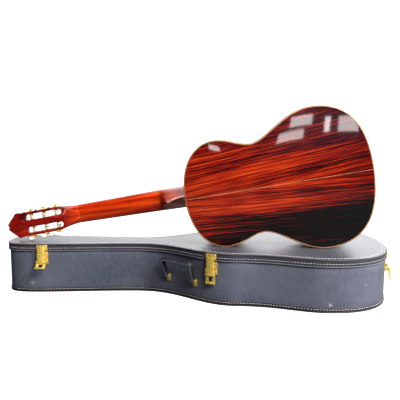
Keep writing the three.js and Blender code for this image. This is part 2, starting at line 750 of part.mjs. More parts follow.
caseShells();
baseLining();
neckCradle();
compartmentLid();
handle();
latch(1, new THREE.Vector2(-406.5, -61), 60);
latch(2, new THREE.Vector2(48, -149), 0);
latch(3, new THREE.Vector2(494, -98), 12);
lidHinges();
soundbox();
bracing();
neck();
headVeneer();
heelCap();
fingerboard();
bridge();
strings();
tuners();

export default root;
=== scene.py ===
"""Looks of a classical guitar lying on its side on its closed hard case."""

import json
import math

import bmesh
import bpy
from mathutils import Matrix, Vector


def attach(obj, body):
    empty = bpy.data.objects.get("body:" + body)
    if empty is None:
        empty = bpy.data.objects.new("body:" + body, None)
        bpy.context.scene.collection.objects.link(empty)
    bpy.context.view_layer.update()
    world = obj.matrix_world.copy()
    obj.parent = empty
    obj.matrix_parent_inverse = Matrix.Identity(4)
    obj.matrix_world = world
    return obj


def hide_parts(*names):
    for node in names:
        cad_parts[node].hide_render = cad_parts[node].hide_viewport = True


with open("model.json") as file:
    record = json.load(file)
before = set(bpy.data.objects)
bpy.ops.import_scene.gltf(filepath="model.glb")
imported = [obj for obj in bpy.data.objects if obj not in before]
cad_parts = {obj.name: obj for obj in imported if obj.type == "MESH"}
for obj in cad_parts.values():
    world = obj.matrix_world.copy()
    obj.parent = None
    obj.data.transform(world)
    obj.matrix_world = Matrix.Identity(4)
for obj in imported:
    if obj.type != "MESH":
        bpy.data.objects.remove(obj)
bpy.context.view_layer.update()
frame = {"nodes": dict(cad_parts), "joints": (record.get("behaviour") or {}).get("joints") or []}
MM = 0.001
NODES = frame["nodes"]


# ---------------------------------------------------------------- main sizes, in mm and degrees
CASE_HEIGHT = 132.0
PARTING = 113.0  # height of the base's wall
LEVER_OUT, LEVER_UP = 6.0, 86.0  # a latch lever's pivot, from the wall and from the floor
HANDLE_LEAN = 18.0
BODY_LENGTH, BODY_DEPTH = 487.0, 95.0
PLATE = 3.0  # back and soundboard
SOUNDHOLE = (151.0, 42.5)  # place along the body, radius
NECK_LENGTH = 320.0  # nut to body
SCALE_LENGTH = 2 * NECK_LENGTH
JOINT_HALF, NUT_HALF = 30.0, 25.5  # half the neck's width at the body and at the nut
HEAD_TILT, HEAD_THICK, HEAD_FACE = 14.0, 18.0, 92.0
FIRST_ROLLER, ROLLER_STEP = 54.5, 33.5
THREAD_PITCH = 2.827
GUITAR_AT = (-22.5, -76.0, 254.4306)  # neck end of the back's centre line
GUITAR_YAW, GUITAR_RISE = -3.1, -10.0


# ---------------------------------------------------------------- frames
def at_point(*place):
    return Matrix.Translation(Vector(place) * MM)


def turned(degrees, axis):
    return Matrix.Rotation(math.radians(degrees), 4, axis)


def wall_frame(joint_name, out=0.0, up=0.0):
    """X along a joint's axis, Y out of the case's wall, Z up. The joint stands out and up from the frame."""
    joint = next(j for j in frame["joints"] if j["name"] == joint_name)
    x = Vector(joint["axis"])
    y = Vector((-x.y, x.x, 0))
    m = Matrix((x, y, (0, 0, 1))).transposed().to_4x4()
    m.translation = Vector(joint["pos_m"]) - (y * out + Vector((0, 0, up))) * MM
    return m


GUITAR = at_point(*GUITAR_AT) @ turned(GUITAR_YAW, "Z") @ turned(GUITAR_RISE, "Y")
HEAD = GUITAR @ at_point(-NECK_LENGTH, HEAD_FACE, 0) @ turned(HEAD_TILT, "Z")
HANDLE = wall_frame("handle_swing") @ turned(-HANDLE_LEAN, "X")
LATCHES = {n: wall_frame(f"latch_{n}_lever_pivot", LEVER_OUT, LEVER_UP) for n in (1, 2, 3)}
WORLD = Matrix.Identity(4)


# ---------------------------------------------------------------- camera, floor and lights
CAMERA_AT = (0.0448, -1.4729, 0.4388)  # metres
CAMERA_YAW, CAMERA_PITCH, CAMERA_ROLL = 1.16, 7.49, -0.14
CAMERA_LENS, CAMERA_SENSOR = 48.73, 36


def make_camera():
    data = bpy.data.cameras.new("camera")
    data.lens = CAMERA_LENS
    data.sensor_width = CAMERA_SENSOR
    cam = bpy.data.objects.new("camera", data)
    bpy.context.scene.collection.objects.link(cam)
    turn = turned(CAMERA_YAW, "Z") @ turned(-CAMERA_PITCH, "X") @ turned(CAMERA_ROLL, "Y") @ turned(90, "X")
    cam.matrix_world = Matrix.Translation(CAMERA_AT) @ turn
    bpy.context.scene.camera = cam


def area_light(name, place, target, size, watts):
    data = bpy.data.lights.new(name, "AREA")
    data.shape = "RECTANGLE"
    data.size, data.size_y = size
    data.energy = watts
    lamp = bpy.data.objects.new(name, data)
    bpy.context.scene.collection.objects.link(lamp)
    lamp.location = place
    lamp.rotation_euler = (Vector(target) - Vector(place)).to_track_quat("-Z", "Y").to_euler()


# Lamps: place, point they face, size in metres, and watts.
LAMPS = {
    "key": ((1.4, -2.1, 2.0), (0.05, 0, 0.2), (1.5, 0.9), 135),
    "right": ((2.2, -0.8, 1.0), (0.4, 0, 0.1), (1.7, 1.8), 20),
    "top": ((0.2, 0.5, 2.6), (0, 0, 0.1), (2.4, 1.4), 30),
}
# Panes of daylight behind the camera: x, z, width, height in metres, and watts.
WINDOWS = [
    (0.385, 0.630, 0.25, 0.095, 0.9),
    (0.290, 0.505, 0.29, 0.090, 0.9),
    (0.656, 0.572, 0.05, 0.140, 0.4),
    (0.870, 0.570, 0.22, 0.140, 1.1),
    (-0.285, 0.420, 0.11, 0.055, 0.25),
]
WINDOW_WALL = -3.0
WINDOW_TARGET = (0.25, 0, 0.40)
ROOM_BRIGHT_SIDE = (0.6, 0.75, 0.0)
ROOM_FADE = (-0.15, 0.8, 0.05, 1.9)  # from, to, strength in front, strength behind
BACKDROP = 1.25  # strength of the world that the camera sees


def make_studio():
    """White all round to the eye, but the light comes from above and behind, with a darker room in front."""
    world = bpy.data.worlds.new("studio")
    world.use_nodes = True
    tree = world.node_tree
    back = tree.nodes["Background"]
    coords = tree.nodes.new("ShaderNodeTexCoord")
    side = tree.nodes.new("ShaderNodeVectorMath")
    side.operation = "DOT_PRODUCT"
    side.inputs[1].default_value = ROOM_BRIGHT_SIDE
    tree.links.new(coords.outputs["Generated"], side.inputs[0])
    fade = tree.nodes.new("ShaderNodeMapRange")
    for key, value in enumerate(ROOM_FADE, 1):
        fade.inputs[key].default_value = value
    tree.links.new(side.outputs["Value"], fade.inputs[0])
    path = tree.nodes.new("ShaderNodeLightPath")
    choose = tree.nodes.new("ShaderNodeMix")
    choose.inputs[3].default_value = BACKDROP
    tree.links.new(path.outputs["Is Camera Ray"], choose.inputs[0])
    tree.links.new(fade.outputs[0], choose.inputs[2])
    tree.links.new(choose.outputs[0], back.inputs["Strength"])
    back.inputs["Color"].default_value = (1, 1, 1, 1)
    bpy.context.scene.world = world
    bpy.context.scene.view_settings.view_transform = "Standard"
    bpy.context.scene.view_settings.look = "Medium High Contrast"
    for name, settings in LAMPS.items():
        area_light(name, *settings)
    for number, (x, z, wide, tall, watts) in enumerate(WINDOWS, 1):
        area_light(f"window_{number}", (x, WINDOW_WALL, z), WINDOW_TARGET, (wide, tall), watts)


# ---------------------------------------------------------------- node materials
class Shade:
    """A material whose nodes are added one call at a time."""

    def __init__(self, name, **settings):
        self.mat = bpy.data.materials.new(name)
        self.mat.use_nodes = True
        self.tree = self.mat.node_tree
        self.bsdf = self.tree.nodes["Principled BSDF"]
        self.coords = self.tree.nodes.new("ShaderNodeTexCoord").outputs["Object"]
        for key, value in settings.items():
            self.bsdf.inputs[key.replace("_", " ")].default_value = value

    def add(self, kind, inputs=(), **props):
        node = self.tree.nodes.new("ShaderNode" + kind)
        for key, value in props.items():
            setattr(node, key, value)
        for key, value in dict(inputs).items():
            self.feed(node.inputs[key], value)
        return node

    def feed(self, socket, value):
        if isinstance(value, bpy.types.NodeSocket):
            self.tree.links.new(value, socket)
        else:
            socket.default_value = value

    def to(self, key, value):
        self.feed(self.bsdf.inputs[key], value)
        return self

    def calc(self, op, a, b=0.0):
        return self.add("Math", {0: a, 1: b}, operation=op).outputs[0]

    def sum(self, first, *others):
        for other in others:
            first = self.calc("ADD", first, other)
        return first

    def times(self, a, b):
        return self.calc("MULTIPLY", a, b)

    def local(self, matrix, scale=(1, 1, 1)):
        """Coordinates in another frame, in metres times scale."""
        placed = {0: self.coords, 1: matrix.translation[:], 2: matrix.to_euler("XYZ")[:]}
        moved = self.add("Mapping", placed, vector_type="TEXTURE").outputs[0]
        return moved if scale == (1, 1, 1) else self.scaled(moved, scale)

    def scaled(self, vector, scale):
        return self.add("Mapping", {0: vector, 3: scale}, vector_type="POINT").outputs[0]

    def split(self, vector):
        return self.add("SeparateXYZ", {0: vector}).outputs

    def join(self, x, y, z):
        return self.add("CombineXYZ", {0: x, 1: y, 2: z}).outputs[0]

    def noise(self, vector, scale, detail=4.0, rough=0.55, distort=0.0):
        look = {"Detail": detail, "Roughness": rough, "Distortion": distort}
        return self.add("TexNoise", {"Vector": vector, "Scale": scale, **look}).outputs[0]

    def voronoi(self, vector, scale):
        return self.add("TexVoronoi", {"Vector": vector, "Scale": scale}).outputs["Distance"]

    def ramp(self, value, stops, ease="LINEAR"):
        node = self.add("ValToRGB", {0: value})
        node.color_ramp.interpolation = ease
        parts = node.color_ramp.elements
        while len(parts) < len(stops):
            parts.new(0.5)
        for part, (at, color) in zip(parts, stops):
            part.position = at
            part.color = (*color, 1)
        return node.outputs[0]

    def span(self, value, low, high, to_low=0.0, to_high=1.0):
        return self.add("MapRange", {0: value, 1: low, 2: high, 3: to_low, 4: to_high}).outputs[0]

    def mix(self, factor, a, b):
        return self.add("Mix", {0: factor, 6: a, 7: b}, data_type="RGBA").outputs[2]

    def bump(self, height, strength, distance=0.001):
        node = self.add("Bump", {"Height": height, "Strength": strength, "Distance": distance})
        self.feed(self.bsdf.inputs["Normal"], node.outputs[0])
        return self


def rgba(r, g, b):
    return (r, g, b, 1.0)


def vinyl(name, tone=1.0, sheen=0.42):
    s = Shade(name, Roughness=sheen)
    s.to("Specular IOR Level", 0.5)
    grain = s.voronoi(s.coords, 900)
    pores = s.noise(s.coords, 420, 3)
    cloud = s.noise(s.coords, 6, 4)
    blue = s.mix(
        s.span(cloud, 0.3, 0.7),
        rgba(0.050 * tone, 0.052 * tone, 0.068 * tone),
        rgba(0.082 * tone, 0.085 * tone, 0.105 * tone),
    )
    worn = s.span(s.noise(s.coords, 70, 5, 0.7), 0.58, 0.80)
    s.to("Base Color", s.mix(s.times(worn, 0.22), blue, rgba(0.16 * tone, 0.16 * tone, 0.18 * tone)))
    s.to("Roughness", s.span(cloud, 0.2, 0.8, sheen - 0.04, sheen + 0.06))
    return s.bump(s.sum(grain, s.times(pores, 0.6)), 0.2, 0.0003).mat


def scuffed_vinyl(name, spots):
    """Wall vinyl with a few pale rubbed marks."""
    s = Shade(name, Roughness=0.44)
    grain = s.voronoi(s.coords, 900)
    cloud = s.noise(s.coords, 6, 4)
    weave = s.noise(s.scaled(s.coords, (1, 1, 0.35)), 240, 3)
    base = s.mix(s.span(cloud, 0.3, 0.7), rgba(0.058, 0.064, 0.090), rgba(0.125, 0.132, 0.170))
    base = s.mix(s.span(weave, 0.35, 0.75, 0, 0.4), base, rgba(0.17, 0.175, 0.215))
    ragged = s.noise(s.coords, 190, 4, 0.8)
    for place, radius, amount in spots:
        away = s.add("VectorMath", {0: s.coords, 1: place}, operation="DISTANCE").outputs["Value"]
        near = s.span(away, 0.0, radius, 1.0, 0.0)
        mark = s.span(s.sum(near, s.times(ragged, 1.6)), 1.35, 1.75, 0, amount)
        base = s.mix(mark, base, rgba(0.55, 0.55, 0.58))
    s.to("Base Color", base)
    s.to("Roughness", s.span(cloud, 0.2, 0.8, 0.38, 0.52))
    return s.bump(grain, 0.3, 0.0004).mat


def brass(name, color=(1.0, 0.78, 0.20), rough=0.3):
    s = Shade(name, Metallic=0.6, Roughness=rough)
    fine = s.noise(s.coords, 900, 3)
    cloud = s.noise(s.coords, 160, 4)
    dark = (color[0] * 0.78, color[1] * 0.58, color[2] * 0.4)
    wave = {"Vector": s.coords, "Scale": 95.0, "Distortion": 9.0, "Detail": 2.0}
    scroll = s.add("TexWave", wave).outputs[1]
    chased = s.times(s.span(scroll, 0.16, 0.04), 0.75)
    worn = s.mix(s.span(cloud, 0.50, 0.72), rgba(*color), rgba(*dark))
    s.to("Base Color", s.mix(chased, worn, rgba(color[0] * 0.22, color[1] * 0.13, color[2] * 0.10)))
    s.to("Roughness", s.span(cloud, 0.3, 0.75, rough - 0.06, rough + 0.16))
    height = s.calc("SUBTRACT", s.sum(fine, cloud), s.times(chased, 1.5))
    return s.bump(height, 0.3, 0.0004).mat


def rosewood_back(name):
    """Bookmatched rosewood: fine streaks that mirror about the centre seam and fan a little from it."""
    s = Shade(name, Roughness=0.3)
    s.to("Coat Weight", 0.8).to("Coat Roughness", 0.04).to("Specular IOR Level", 0.15)
    u, _, v = s.split(s.local(GUITAR))
    side = s.calc("ABSOLUTE", v)
    sway = s.noise(s.join(s.times(u, 2.2), s.times(side, 6.0), 0.0), 1.0, 2)
    across = s.calc("SUBTRACT", side, s.times(u, 0.07))
    across = s.sum(across, s.times(s.calc("SUBTRACT", sway, 0.5), 0.016))

    def streaks(along, count, depth, detail):
        at = s.join(s.times(u, along), s.times(across, count), depth)
        return s.noise(at, 1.0, detail, 0.6)

    wide, mid, fine = streaks(1.3, 34, 0.3, 1), streaks(4.4, 330, 1.7, 3), streaks(13.0, 800, 4.1, 3)
    value = s.sum(s.times(wide, 0.24), s.times(mid, 0.80), s.times(fine, 0.75))
    value = s.span(value, 0.63, 1.13)
    low = s.times(s.span(v, -0.045, -0.105), s.span(u, -0.02, 0.14, 0.5, 1.0))
    tail = s.span(u, 0.30, 0.47, 0.0, 0.14)
    high = s.span(v, 0.05, 0.16, 0.0, 0.16)
    near_neck = s.span(u, 0.34, 0.05, 0.0, 0.13)
    value = s.calc("SUBTRACT", s.calc("SUBTRACT", value, s.times(low, 0.50)), s.sum(tail, high))
    value = s.sum(value, near_neck)
    color = s.ramp(
        value,
        [
            (0.10, (0.0008, 0.0003, 0.0003)),
            (0.30, (0.022, 0.0008, 0.0008)),
            (0.46, (0.120, 0.0035, 0.0010)),
            (0.66, (0.280, 0.0130, 0.0015)),
            (0.95, (0.520, 0.0600, 0.0080)),
        ],
    )
    wine = s.times(s.span(v, 0.02, 0.09), s.span(value, 0.62, 0.30, 0.0, 0.7))
    s.to("Base Color", s.mix(wine, color, rgba(0.040, 0.0015, 0.007)))
    s.to("Roughness", s.span(fine, 0.3, 0.7, 0.30, 0.18))
    return s.bump(fine, 0.03, 0.0002).mat


def wood(name, scale, stops, coat, rough, bump=0.1, distort=0.0, haze=0.07):
    """Straight-grained wood. scale is the streaks' frequency on the guitar's axes; haze blurs the coat."""
    s = Shade(name, Roughness=rough)
    s.to("Coat Weight", coat).to("Coat Roughness", haze)
    v = s.local(GUITAR, scale)
    coarse = s.noise(v, 1.0, 5.0, 0.6, distort)
    fine = s.noise(s.scaled(v, (1.3, 5.0, 5.0)), 1.0, 3, 0.6)
    value = s.sum(s.times(coarse, 0.7), s.times(fine, 0.3))
    s.to("Base Color", s.ramp(value, stops))
    s.to("Roughness", s.span(fine, 0.3, 0.7, rough + 0.06, rough - 0.05))
    return s.bump(value, bump, 0.0003).mat


def neck_wood(name):
    """Red neck wood with short pores, darker on the head than on the neck."""
    s = Shade(name, Roughness=0.3)
    s.to("Coat Weight", 0.45).to("Coat Roughness", 0.08).to("Specular IOR Level", 0.2)
    place = s.local(GUITAR)
    u, _, _ = s.split(place)
    streaks = s.noise(s.scaled(place, (5, 90, 90)), 1.0, 4, 0.6)
    pores = s.noise(s.scaled(place, (40, 700, 700)), 1.0, 2, 0.6)
    red = [(0.30, (0.19, 0.006, 0.002)), (0.48, (0.42, 0.028, 0.002)), (0.62, (0.60, 0.060, 0.004))]
    neck = s.ramp(streaks, [*red, (0.78, (0.72, 0.12, 0.015))])
    deep_red = [(0.30, (0.085, 0.0018, 0.0010)), (0.50, (0.20, 0.0045, 0.0015)), (0.72, (0.32, 0.014, 0.003))]
    head = s.ramp(streaks, deep_red)
    color = s.mix(s.span(u, -0.352, -0.315), head, neck)
    color = s.mix(s.span(pores, 0.58, 0.72, 0, 0.45), color, rgba(0.10, 0.004, 0.002))
    s.to("Base Color", color)
    s.to("Roughness", s.span(streaks, 0.3, 0.7, 0.30, 0.20))
    return s.bump(pores, 0.05, 0.0002).mat


def soundboard_wood(name):
    s = Shade(name, Roughness=0.32)
    s.to("Coat Weight", 0.5).to("Coat Roughness", 0.08)
    u, _, v = s.split(s.local(GUITAR))
    wave = s.noise(s.join(s.times(u, 1.5), 0.0, s.times(v, 30.0)), 1.0, 3)
    across = s.sum(v, s.times(wave, 0.0025))
    rings = s.calc("SINE", s.times(across, 3600.0))
    silk = s.noise(s.join(s.times(u, 14.0), 0.0, s.times(v, 900.0)), 1.0, 4)
    tone = s.sum(s.span(rings, -1, 1, 0.2, 0.6), s.times(silk, 0.35))
    color = s.ramp(tone, [(0.3, (0.58, 0.30, 0.11)), (0.62, (0.50, 0.23, 0.075)), (0.92, (0.34, 0.13, 0.04))])
    s.to("Base Color", color)
    return s.bump(rings, 0.04, 0.0002).mat


def rosette_wood(name, centre):
    """Rings of small dark and light tiles round the soundhole."""
    s = Shade(name, Roughness=0.3)
    s.to("Coat Weight", 0.5).to("Coat Roughness", 0.08)
    u, _, v = s.split(s.local(GUITAR))
    du = s.calc("SUBTRACT", u, centre * MM)
    radius = s.calc("SQRT", s.sum(s.times(du, du), s.times(v, v)))
    turn = s.calc("ARCTAN2", v, du)
    tile = s.calc("SINE", s.times(turn, 96.0))
    band = s.calc("SINE", s.times(radius, 2600.0))
    tiles = [(0.0, (0.02, 0.010, 0.008)), (0.42, (0.42, 0.06, 0.02))]
    tiles += [(0.58, (0.75, 0.55, 0.28)), (1.0, (0.05, 0.12, 0.05))]
    mosaic = s.ramp(s.span(s.times(tile, band), -1, 1), tiles, "CONSTANT")
    hoops = [(0.0, (0.03, 0.015, 0.01)), (0.35, (0.78, 0.60, 0.34)), (0.7, (0.30, 0.06, 0.02))]
    lines = s.ramp(s.calc("FRACT", s.times(radius, 420.0)), hoops, "CONSTANT")
    inside = s.times(s.calc("GREATER_THAN", radius, 0.0495), s.calc("LESS_THAN", radius, 0.0575))
    return s.to("Base Color", s.mix(inside, lines, mosaic)).mat


def plush(name):
    color = (0.22, 0.010, 0.022)
    s = Shade(name, Roughness=0.9)
    s.to("Sheen Weight", 0.6).to("Sheen Roughness", 0.4)
    pile = s.noise(s.coords, 1500, 3)
    brushed = s.noise(s.coords, 26, 4, 0.6, 0.5)
    dark = tuple(c * 0.7 for c in color)
    light = tuple(c * 1.25 for c in color)
    s.to("Base Color", s.ramp(brushed, [(0.25, dark), (0.5, color), (0.8, light)]))
    return s.bump(s.sum(pile, s.times(brushed, 0.8)), 0.6, 0.0008).mat


def tinted(name, low, high, scale, rough=0.4, bump=0.1, distance=0.0003, **sockets):
    """A plain substance with cloudy colour and a fine surface."""
    s = Shade(name, Roughness=rough)
    for key, value in sockets.items():
        s.to(key.replace("_", " "), value)
    cloud = s.noise(s.coords, scale, 4)
    s.to("Base Color", s.ramp(cloud, [(0.35, low), (0.65, high)]))
    s.to("Roughness", s.span(cloud, 0.3, 0.7, rough - 0.04, rough + 0.08))
    return s.bump(s.noise(s.coords, scale * 9, 3), bump, distance).mat


def pearl(name):
    s = Shade(name, Roughness=0.18)
    s.to("Coat Weight", 0.6).to("Coat Roughness", 0.05)
    swirl = s.noise(s.coords, 190, 3, 0.5, 1.6)
    cream = [(0.3, (0.80, 0.76, 0.66)), (0.46, (0.97, 0.95, 0.88))]
    cream += [(0.58, (0.86, 0.90, 0.88)), (0.72, (0.99, 0.93, 0.86))]
    s.to("Base Color", s.ramp(swirl, cream))
    return s.bump(swirl, 0.05, 0.0002).mat


def wound_string(name):
    """Silvered wire wound round a core, with its turns as bump."""
    s = Shade(name, Metallic=0.9, Roughness=0.32)
    u, _, _ = s.split(s.local(GUITAR))
    turns = s.calc("SINE", s.times(u, 15000.0))
    s.to("Base Color", s.ramp(s.span(turns, -1, 1), [(0.1, (0.22, 0.20, 0.17)), (0.7, (0.74, 0.71, 0.64))]))
    return s.bump(turns, 0.5, 0.0002).mat


def floor_white(name):
    """Reads white to the eye, and gives back only a little light, as paper in a dim room does."""
    s = Shade(name, Roughness=0.8)
    cloud = s.noise(s.coords, 3, 3)
    s.to("Base Color", s.ramp(cloud, [(0.3, (0.11, 0.11, 0.11)), (0.7, (0.13, 0.13, 0.13))]))
    seen = s.add("LightPath").outputs["Is Camera Ray"]
    s.to("Emission Color", (1, 1, 1, 1)).to("Emission Strength", s.times(seen, 1.1))
    return s.to("Specular IOR Level", 0.1).mat


# ---------------------------------------------------------------- outlines, in mm
def bezier_half(start, curves, steps):
    points = [Vector(start)]
    for c1x, c1y, c2x, c2y, ex, ey in curves:
        a, b, c, d = points[-1].copy(), Vector((c1x, c1y)), Vector((c2x, c2y)), Vector((ex, ey))
        for i in range(1, steps + 1):
            t = i / steps
            m = 1 - t
            points.append(a * m**3 + b * 3 * m * m * t + c * 3 * m * t * t + d * t**3)
    return points


def closed_from_half(half):
    return [p.copy() for p in half] + [Vector((p.x, -p.y)) for p in reversed(half[1:-1])]


CASE_HALF = bezier_half(
    (-508, 0),
    [
        (-508, 47, -486, 62, -436, 62),
        (-364, 62, -240, 44, -150, 44),
        (-32, 44, 12, 167, 112, 167),
        (213, 167, 261, 214, 334, 214),
        (438, 214, 508, 150, 508, 0),
    ],
    40,
)
BODY_HALF = bezier_half(
    (0, 0),
    [
        (0, 98, 50, 139.5, 94, 139.5),
        (134, 139.5, 161, 116, 190, 116),
        (229, 116, 286, 183, 348, 183),
        (440, 183, 487, 124, 487, 0),
    ],
    36,
)
CASE_LOOP = closed_from_half(CASE_HALF)
BODY_LOOP = closed_from_half(BODY_HALF)


def outward(loop):
    """Unit normals out of a loop that runs clockwise."""
    count = len(loop)
    result = []
    for i in range(count):
        along = (loop[(i + 1) % count] - loop[i - 1]).normalized()
        result.append(Vector((-along.y, along.x)))
    return result


def grown(loop, distance):
    return [p + n * distance for p, n in zip(loop, outward(loop))]


# ---------------------------------------------------------------- building pieces
def upright(x, y, h):
    """A point of a plan and its height, in the case's frame."""
    return Vector((x, y, h))


def edgewise(x, y, h):
    """The same for the guitar, whose plans lie in its X and Z and rise along Y."""
    return Vector((x, h, y))


def mesh_object(name, verts, faces, material, matrix=WORLD, smooth=40):
    mesh = bpy.data.meshes.new(name)
    mesh.from_pydata([matrix @ (Vector(v) * MM) for v in verts], [], faces)
    bm = bmesh.new()
    bm.from_mesh(mesh)
    bmesh.ops.remove_doubles(bm, verts=bm.verts, dist=1e-6)
    bmesh.ops.recalc_face_normals(bm, faces=bm.faces)
    bm.to_mesh(mesh)
    bm.free()
    obj = bpy.data.objects.new(name, mesh)
    bpy.context.scene.collection.objects.link(obj)
    mesh.materials.append(material)
    shade(obj, smooth)
    return obj


def shade(obj, angle):
    obj.data.polygons.foreach_set("use_smooth", [True] * len(obj.data.polygons))
    obj.data.set_sharp_from_angle(angle=math.radians(angle))


def ring_faces(rings, size, around=True, looped=False, first=0):
    """Quads between rings of points. around closes each ring, looped joins the last ring to the first."""
    faces = []
    for i in range(rings if looped else rings - 1):
        a, b = first + i * size, first + (i + 1) % rings * size
        for j in range(size if around else size - 1):
            k = (j + 1) % size
            faces.append((a + j, a + k, b + k, b + j))
    return faces


def end_caps(rings, size, first=0):
    last = first + (rings - 1) * size
    return [tuple(range(first, first + size)), tuple(range(last, last + size))]


def baked(obj):
    """The mesh of an object with its modifiers applied."""
    bpy.context.view_layer.update()
    return bpy.data.meshes.new_from_object(obj.evaluated_get(bpy.context.evaluated_depsgraph_get()))


def settle(obj, body, slot, *nodes):
    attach(obj, body)
    if nodes:
        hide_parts(*nodes)
    return obj


def sweep(name, loop, profile, material, plane=upright, matrix=WORLD, smooth=40):
    """Carries a closed profile of (distance outwards, height) points round a loop."""
    verts = [plane(p.x + n.x * d, p.y + n.y * d, h) for p, n in zip(loop, outward(loop)) for d, h in profile]
    faces = ring_faces(len(loop), len(profile), looped=True)
    return mesh_object(name, verts, faces, material, matrix, smooth)


def ladder(loop, across, height, offset=0):
    """A sheet of rungs between a loop's two mirrored sides, with height(x, y, share) over it."""
    total = len(loop)
    half = total // 2
    verts, faces, rows = [], [], []
    for i in range(half + 1):
        p = loop[i]
        if i in (0, half):
            rows.append([offset + len(verts)] * (across + 1))
            verts.append((p.x, 0.0, height(p.x, 0.0, 1.0)))
            continue
        row = []
        for j in range(across + 1):
            share = 1 - 2 * j / across
            row.append(offset + len(verts))
            verts.append((p.x, p.y * share, height(p.x, p.y * share, abs(share))))
        rows.append(row)
    for upper, lower in zip(rows, rows[1:]):
        for j in range(across):
            quad = []
            for index in (upper[j], upper[j + 1], lower[j + 1], lower[j]):
                if index not in quad:
                    quad.append(index)
            if len(quad) > 2:
                faces.append(tuple(quad))
    return verts, faces


def capped(name, loop, profile, material, top, bottom, plane=upright, matrix=WORLD, across=24, smooth=40):
    """A closed shell: a swept open profile with a sheet on each end. Its last point meets the top."""
    normals = outward(loop)
    verts = [(p.x + n.x * d, p.y + n.y * d, h) for p, n in zip(loop, normals) for d, h in profile]
    faces = ring_faces(len(loop), len(profile), around=False, looped=True)
    for distance, height in ((profile[-1][0], top), (profile[0][0], bottom)):
        edge = [p + n * distance for p, n in zip(loop, normals)]
        more, flat = ladder(edge, across, height, len(verts))
        verts += more
        faces += flat
    return mesh_object(name, [plane(*v) for v in verts], faces, material, matrix, smooth)


def level(height):
    """A flat sheet for capped."""
    return lambda x, y, share: height


def arc(x, y, r, steps, start=0.0, sweep_angle=360.0):
    """Points round a centre, from start, in equal steps. A full circle leaves out its last point."""
    count = steps if sweep_angle == 360.0 else steps + 1
    turns = [math.radians(start + sweep_angle * k / steps) for k in range(count)]
    return [(x + r * math.cos(t), y + r * math.sin(t)) for t in turns]


def lathe(name, profile, material, matrix, sides=28, squash=1.0):
    """Turns (radius, height) points about a frame's Y. squash flattens it along Z."""
    verts = []
    for i in range(sides):
        turn = 2 * math.pi * i / sides
        verts += [(r * math.cos(turn), h, r * math.sin(turn) * squash) for r, h in profile]
    faces = ring_faces(sides, len(profile), around=False, looped=True)
    obj = mesh_object(name, verts, faces, material, matrix, 50)
    bm = bmesh.new()
    bm.from_mesh(obj.data)
    bmesh.ops.dissolve_degenerate(bm, dist=1e-7, edges=bm.edges)
    bmesh.ops.recalc_face_normals(bm, faces=bm.faces)
    bm.to_mesh(obj.data)
    bm.free()
    shade(obj, 50)
    return obj


def rod(name, path, radius, material, matrix=WORLD, sides=10):
    """A round rod along a list of points, with closed ends."""
    pts = [Vector(p) for p in path]
    verts = []
    across = None
    for i, p in enumerate(pts):
        along = (pts[min(i + 1, len(pts) - 1)] - pts[max(i - 1, 0)]).normalized()
        if across is None:
            across = along.orthogonal().normalized()
        across = (across - along * across.dot(along)).normalized()
        up = along.cross(across)
        for k in range(sides):
            turn = 2 * math.pi * k / sides
            verts.append(p + across * (radius * math.cos(turn)) + up * (radius * math.sin(turn)))
    faces = ring_faces(len(pts), sides) + end_caps(len(pts), sides)
    return mesh_object(name, verts, faces, material, matrix, 60)


def plate(name, loops, low, high, material, bevel=0.6, plane=edgewise, matrix=GUITAR):
    """A flat piece with holes. The first loop is its outline; edges are rounded by bevel."""
    curve = bpy.data.curves.new(name, "CURVE")
    curve.dimensions = "2D"
    curve.fill_mode = "BOTH"
    curve.extrude = ((high - low) / 2 - bevel) * MM
    curve.bevel_depth = bevel * MM
    curve.bevel_resolution = 2
    curve.offset = -bevel * MM
    for loop in loops:
        spline = curve.splines.new("POLY")
        spline.points.add(len(loop) - 1)
        for point, place in zip(spline.points, loop):
            point.co = (place[0] * MM, place[1] * MM, 0, 1)
        spline.use_cyclic_u = True
    temp = bpy.data.objects.new(name + "_curve", curve)
    bpy.context.scene.collection.objects.link(temp)
    mesh = baked(temp)
    verts = [plane(v.co.x / MM, v.co.y / MM, v.co.z / MM + (low + high) / 2) for v in mesh.vertices]
    faces = [tuple(p.vertices) for p in mesh.polygons]
    bpy.data.objects.remove(temp)
    bpy.data.meshes.remove(mesh)
    return mesh_object(name, verts, faces, material, matrix, 35)


def refined(node, name, material, bevel, segments=2):
    """A copy of a CAD solid with rounded edges."""
    mesh = NODES[node].data.copy()
    mesh.name = name
    obj = bpy.data.objects.new(name, mesh)
    bpy.context.scene.collection.objects.link(obj)
    bm = bmesh.new()
    bm.from_mesh(mesh)
    bmesh.ops.remove_doubles(bm, verts=bm.verts, dist=2e-6)
    bmesh.ops.dissolve_limit(bm, angle_limit=math.radians(1), verts=bm.verts, edges=bm.edges)
    bm.to_mesh(mesh)
    bm.free()
    mod = obj.modifiers.new("round", "BEVEL")
    mod.width = bevel * MM
    mod.segments = segments
    mod.limit_method = "ANGLE"
    mod.angle_limit = math.radians(32)
    mod.use_clamp_overlap = True
    done = baked(obj)
    obj.modifiers.clear()
    obj.data = done
    done.materials.clear()
    done.materials.append(material)
    shade(obj, 35)
    return obj


STITCH_PITCH, STITCH_LENGTH = 7.5, 5.0
STITCH_SHAPE = ((-0.5, 0.35), (-0.3, 1.0), (0.3, 1.0), (0.5, 0.35))  # place along it, thickness
STITCH_SIDES = 6


